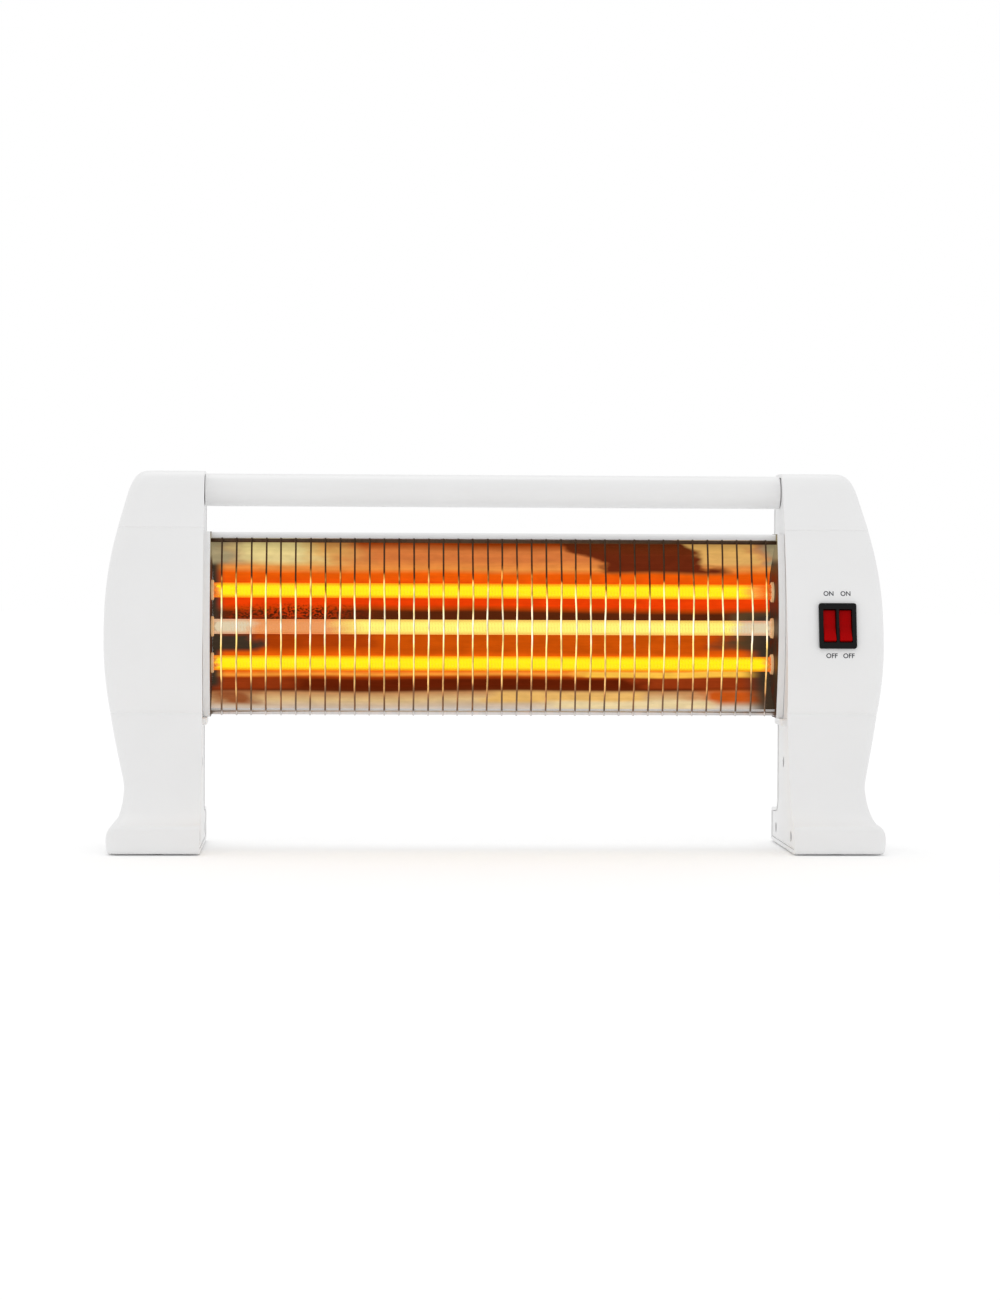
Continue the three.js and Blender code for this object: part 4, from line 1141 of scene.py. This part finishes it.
def tube_mesh(name, z):
    """A drawn quartz tube with fire-polished ends, each with a small chamfer."""
    low, high = span(f"{name}_quartz_tube")
    radius, wall, end = (high.z - low.z) / 2, 1.2, high.x
    along, bore = spaced(-end + 5, end - 5, 21), radius - wall
    profile = bar_profile(radius, end, 0.5, 0.6, along)
    profile += [(bore, end), *((bore, x) for x in reversed(along)), (bore, -end)]
    return smooth(revolved(f"{name}_drawn_tube", profile, "X", (0, tube_depth, z), 40), 40)


def glow_mesh(name, z):
    """The bright air inside the coil: a core that swells a little between the curls."""
    radius, swell = CORE
    profile = [(AT_AXIS, -GLOW_HALF)]
    for step, x in enumerate(spaced(2 - GLOW_HALF, GLOW_HALF - 2, CURLS * 4 + 1)):
        profile.append((radius + swell * math.cos(math.pi * step / 2), x))
    profile.append((AT_AXIS, GLOW_HALF))
    return smooth(revolved(f"{name}_glow_core", profile, "X", (0, tube_depth, z), 24), 60)


def halo_mesh(name, z):
    """The glow in the air around the coil, just inside the tube."""
    halo = disc(f"{name}_glow_halo", HALO, -GLOW_HALF, GLOW_HALF, "X", (0, tube_depth, z))
    return smooth(halo, 60)


def holder_mesh(name, sign):
    """Ceramic holder: a collar that fills the end cap's hole, and a ribbed neck behind it."""
    inner, outer = holder_low.x, holder_high.x
    seat, socket = PLATE_FACE - CLEARANCE, tube_high.x + CLEARANCE
    profile = [(SOCKET, inner), (COLLAR - 0.4, inner), (COLLAR, inner + 0.4),
               (COLLAR, seat - 0.3), (COLLAR - 0.3, seat), (NECK, seat)]
    for x in (seat + 2, seat + 5, seat + 8):
        profile += [(NECK, x), (RIB_FOOT, x + 0.5), (RIB_FOOT, x + 1.2), (NECK, x + 1.7)]
    profile += [(NECK, outer - 0.4), (NECK - 0.4, outer), (LEAD_HOLE, outer),
                (LEAD_HOLE, socket), (SOCKET, socket)]
    profile = [(radius, sign * x) for radius, x in profile]
    ring = revolved(name, profile, "X", (0, tube_depth, 0), 44)
    return smooth(face_outwards(ring), 35)


def blended(stops, color, amount):
    """The same stops with each colour moved towards another."""
    return [
        (at, tuple(own + (other - own) * amount for own, other in zip(shade, color)))
        for at, shade in stops
    ]


for level in TUBES:
    z, stops = tube_axis(level), GLOW[level]
    coil_finish = glowing(f"{level}_coil_glow", blended(stops, AMBER, 0.25), 0.95)
    core_finish = glowing(f"{level}_core_glow", stops, 1.06)
    halo_finish = glowing(f"{level}_halo_glow", blended(stops, AMBER, 0.2), 1.0, 0.5, 0.4)
    edge, share = TUBE_EDGES[level]
    tube_finish = hot_quartz(f"{level}_tube_glow", blended(stops, edge, share))
    finished(coil_mesh(level, z), coil_finish, "heating_wire", f"{level}_heating_coil")
    finished(glow_mesh(level, z), core_finish, "heating_wire")
    finished(halo_mesh(level, z), halo_finish, "quartz_glass")
    finished(tube_mesh(level, z), tube_finish, "quartz_glass", f"{level}_quartz_tube")
    for side, sign in SIDES:
        holder = holder_mesh(f"{level}_ceramic_holder_{side}", sign)
        holder.data.transform(Matrix.Translation((0, 0, z * MM)))
        finished(holder, CERAMIC, "ceramic", f"{level}_tube_holder_{side}")


# ---- wire guard

WIRES = 38
WIRE_PITCH = 9.86
WIRE_RADIUS = 0.6
ROD_RADIUS = 1.3
BOW = 11.3
WIRE_END = 1.8
rod_depth = guard_high.y - ROD_RADIUS
rod_high = guard_high.z - WIRE_END
rod_low = guard_low.z + WIRE_END


def wire_path(x, rng):
    """A bent wire that bows forward between the rods and wanders a little sideways."""
    sway, phase, lean = rng.uniform(0.1, 0.4), rng.uniform(0, 2 * math.pi), rng.uniform(-0.4, 0.4)
    weld = rod_depth - ROD_RADIUS - WIRE_RADIUS + 0.5
    path = []
    for z in spaced(rod_low - WIRE_END + 0.1, rod_high + WIRE_END - 0.1, 33):
        share = (z - rod_low) / (rod_high - rod_low)
        fade = math.sin(math.pi * min(max(share, 0), 1))
        offset = lean * (share - 0.5) + sway * fade * math.sin(2 * math.pi * share * 1.7 + phase)
        offset += rng.uniform(-0.07, 0.07) * fade
        path.append(Vector((x + offset, weld - BOW * math.sin(math.pi * share), z)))
    return path


def joined(name, things):
    edit = bmesh.new()
    for thing in things:
        edit.from_mesh(thing.data)
        bpy.data.objects.remove(thing)
    mesh = bpy.data.meshes.new(name)
    edit.to_mesh(mesh)
    edit.free()
    return add_object(name, mesh)


def wire_guard():
    rng = random.Random(7)
    wires = []
    for index in range(WIRES):
        x = (index - (WIRES - 1) / 2) * WIRE_PITCH
        rings = swept(wire_path(x, rng), WIRE_RADIUS, 8, Vector((1, 0, 0)))
        wires.append(skin(f"wire_{index}", rings))
    end = guard_high.x
    profile = [(AT_AXIS, -end), *bar_profile(ROD_RADIUS, end, 0.3, 0.3), (AT_AXIS, end)]
    for z in (rod_low, rod_high):
        wires.append(revolved(f"rod_{z:.0f}", profile, "X", (0, rod_depth, z), 20))
    return joined("guard_wires", wires)


finished(smooth(wire_guard(), 60), WIRE, "chrome_wire", "wire_guard")


# ---- switch

ROCKER_WIDTH = 8.2
ROCKER_PITCH = 10.6
ROCKER_RADIUS = 11
PIVOT_DEPTH = 2
ROCKER_DIP = 1.4
ROCKER_SLOPE = math.radians(10)
UNDERSIDE = 3
CELL_HALF = ROCKER_RADIUS + CLEARANCE


def switch_case():
    face = -CLEARANCE - BEZEL[2]
    case = plug("switch_housing", box_outline(*BEZEL[:2], 1.8), face, -CLEARANCE)
    combine(case, plug("case_body", box_outline(*SWITCH_BODY, 0.8), -1, 20), "UNION")
    cell_floor = PIVOT_DEPTH + UNDERSIDE + ROCKER_RADIUS * math.sin(ROCKER_SLOPE) + CLEARANCE
    for x in (-ROCKER_PITCH / 2, ROCKER_PITCH / 2):
        cell = box_outline(ROCKER_WIDTH + 2 * CLEARANCE, 2 * CELL_HALF, 0.5)
        cell = [(x + u, v) for u, v in cell]
        combine(case, plug("cell", cell, face - 1, cell_floor), "DIFFERENCE")
    return in_switch_frame(case)


def rocker_tip():
    """Where a straight half of the V meets the round end: up from the pivot, and out."""
    slope = math.tan(ROCKER_SLOPE)
    a, b, c = 1 + slope ** 2, 2 * ROCKER_DIP * slope, ROCKER_DIP ** 2 - ROCKER_RADIUS ** 2
    up = (-b + math.sqrt(b * b - 4 * a * c)) / (2 * a)
    return up, ROCKER_DIP + up * slope


def rocker(name, x):
    """A rocker in its own axes about the pivot, turned to ON and set into the case."""
    up, out = rocker_tip()
    tip, low = math.atan2(out, up), -math.asin(UNDERSIDE / ROCKER_RADIUS)
    outline = [(-ROCKER_DIP - 0.25, -1.6), (-ROCKER_DIP - 0.06, -0.8), (-ROCKER_DIP, 0),
               (-ROCKER_DIP - 0.06, 0.8), (-ROCKER_DIP - 0.25, 1.6)]
    reach = ROCKER_RADIUS - 0.02
    outline += [(-reach * math.sin(a), reach * math.cos(a)) for a in spaced(tip, low, 15)]
    outline += [(-reach * math.sin(a), -reach * math.cos(a)) for a in spaced(low, tip, 15)]
    piece = prism(name, outline, -ROCKER_WIDTH / 2, ROCKER_WIDTH / 2)
    piece.data.transform(
        SWITCH_FRAME @ Matrix.Translation(Vector((x, PIVOT_DEPTH, 0)) * MM)
        @ Matrix.Rotation(-ROCKER_SLOPE, 4, "X")
    )
    return piece


finished(softened(switch_case(), 0.3, 3, 35), BLACK, "black_plastic", "switch_case")
for name, x in (("left_rocker", -ROCKER_PITCH / 2), ("right_rocker", ROCKER_PITCH / 2)):
    key = softened(rocker(f"{name}_key", x), 0.35, 3, 30)
    finished(key, RED, "red_plastic", name, body=name)


def printed_word(name, word, x, z, size):
    """A word printed on the leaning front of the tower."""
    curve = bpy.data.curves.new(name, "FONT")
    curve.body = word
    curve.size = size * MM
    curve.offset = 0.07 * MM
    curve.align_x = "CENTER"
    curve.align_y = "CENTER"
    curve.extrude = 0.01 * MM
    thing = add_object(name, curve)
    bpy.context.view_layer.update()
    mesh = mesh_of(thing)
    bpy.data.objects.remove(thing)
    lean = math.atan((front_at(z + 2) - front_at(z - 2)) / 4)
    mesh.transform(Matrix.Rotation(math.pi / 2 - lean, 4, "X"))
    mesh.transform(Matrix.Translation(Vector((x, front_at(z) - 0.06, z)) * MM))
    return finished(add_object(name, mesh), INK, "black_plastic")


MARK_SPREAD = 5.7
MARK_SIZE = 4.4
MARKS = (("ON", 0.2, 171.5), ("OFF", 1.6, 130.1))  # how far each word is shifted, and its height
for side, sign in (("left", -1), ("right", 1)):
    for word, shift, z in MARKS:
        x = SWITCH_X + shift + sign * MARK_SPREAD
        printed_word(f"{word.lower()}_mark_{side}", word, x, z, MARK_SIZE)


# ---- inner parts keep their solids

INNER = {
    ZINC: [f"{name}_body_screw_{side}" for name in ("upper", "lower") for side, _ in SIDES],
    BRASS: ["common_strip"] + [f"{level}_terminal_tab" for level in TUBES]
    + [f"switch_spade_{index}" for index in range(1, 5)],
    BLACK: ["tilt_switch"],
    CERAMIC: ["terminal_block"],
}
for material, names in INNER.items():
    for name in names:
        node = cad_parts[name]
        node.data.materials.clear()
        node.data.materials.append(material)
        weld = node.modifiers.new("weld", "WELD")
        weld.merge_threshold = 0.01 * MM
        edge = node.modifiers.new("edge", "BEVEL")
        edge.width = 0.2 * MM
        edge.segments = 2
        edge.limit_method = "ANGLE"


# ---- studio

FLOOR = 9000
FLOOR_GLOW = 0.09  # what the camera sees of it beyond its own light
SKY = 0.87  # the light that falls on the heater, where the camera sees 1
LAMP = 0.35
LAMP_SPREAD = 30
LAMP_WAY = (0.05, -0.3, -1)
EYE = (-0.108, -2.2658, 0.197)  # in metres
AIM = (-1.62, -2.816, 0.264)  # pitch, yaw and roll in degrees
LENS = 93.88


def lit_stage(name, color, glow):
    """A floor that the camera sees a little brighter than it is, so that it stays white."""
    finish = Finish(name, color, 0.9)
    grain = finish.noise(900, 900, 900, detail=1.0)
    finish.set("Base Color", finish.mix(grain, color, tuple(c * 0.995 for c in color[:3]) + (1.0,)))
    path = finish.add("ShaderNodeLightPath")
    seen = finish.math("MAXIMUM", path.outputs["Is Camera Ray"], path.outputs["Is Glossy Ray"])
    seen = finish.math("MAXIMUM", seen, path.outputs["Is Transmission Ray"])
    finish.glow((1, 1, 1, 1), finish.times(seen, glow))
    finish.set("Specular IOR Level", 0.0)
    return finish.material


def studio():
    corners = [(x * FLOOR, y * FLOOR, 0) for x, y in ((-1, -1), (1, -1), (1, 1), (-1, 1))]
    floor = mesh_object("floor", corners, [(0, 1, 2, 3)])
    floor.data.materials.append(lit_stage("pale_floor", (0.97, 0.97, 0.97, 1.0), FLOOR_GLOW))

    sky = Sky("studio")
    bpy.context.scene.world = sky.world
    path = sky.add("ShaderNodeLightPath").outputs
    seen = sky.math("MAXIMUM", path["Is Camera Ray"], path["Is Transmission Ray"])
    level = {"Value": seen, "To Min": SKY, "To Max": 1.0}
    sky.set("Strength", sky.add("ShaderNodeMapRange", level).outputs[0])
    sky.set("Color", (1, 1, 1, 1))

    lamp = bpy.data.lights.new("soft_key", "SUN")
    lamp.energy = LAMP
    lamp.angle = math.radians(LAMP_SPREAD)
    key = add_object("soft_key", lamp)
    key.rotation_euler = Vector(LAMP_WAY).to_track_quat("-Z", "Y").to_euler()


def camera():
    data = bpy.data.cameras.new("camera")
    data.sensor_width = 36
    data.lens = LENS
    data.clip_end = 100
    eye = add_object("camera", data)
    eye.location = EYE
    pitch, yaw, roll = (math.radians(angle) for angle in AIM)
    turn = Matrix.Rotation(yaw, 4, "Z") @ Matrix.Rotation(math.pi / 2 + pitch, 4, "X")
    eye.rotation_euler = (turn @ Matrix.Rotation(roll, 4, "Z")).to_euler()
    bpy.context.scene.camera = eye


studio()
camera()
bpy.context.scene.view_settings.view_transform = "Standard"
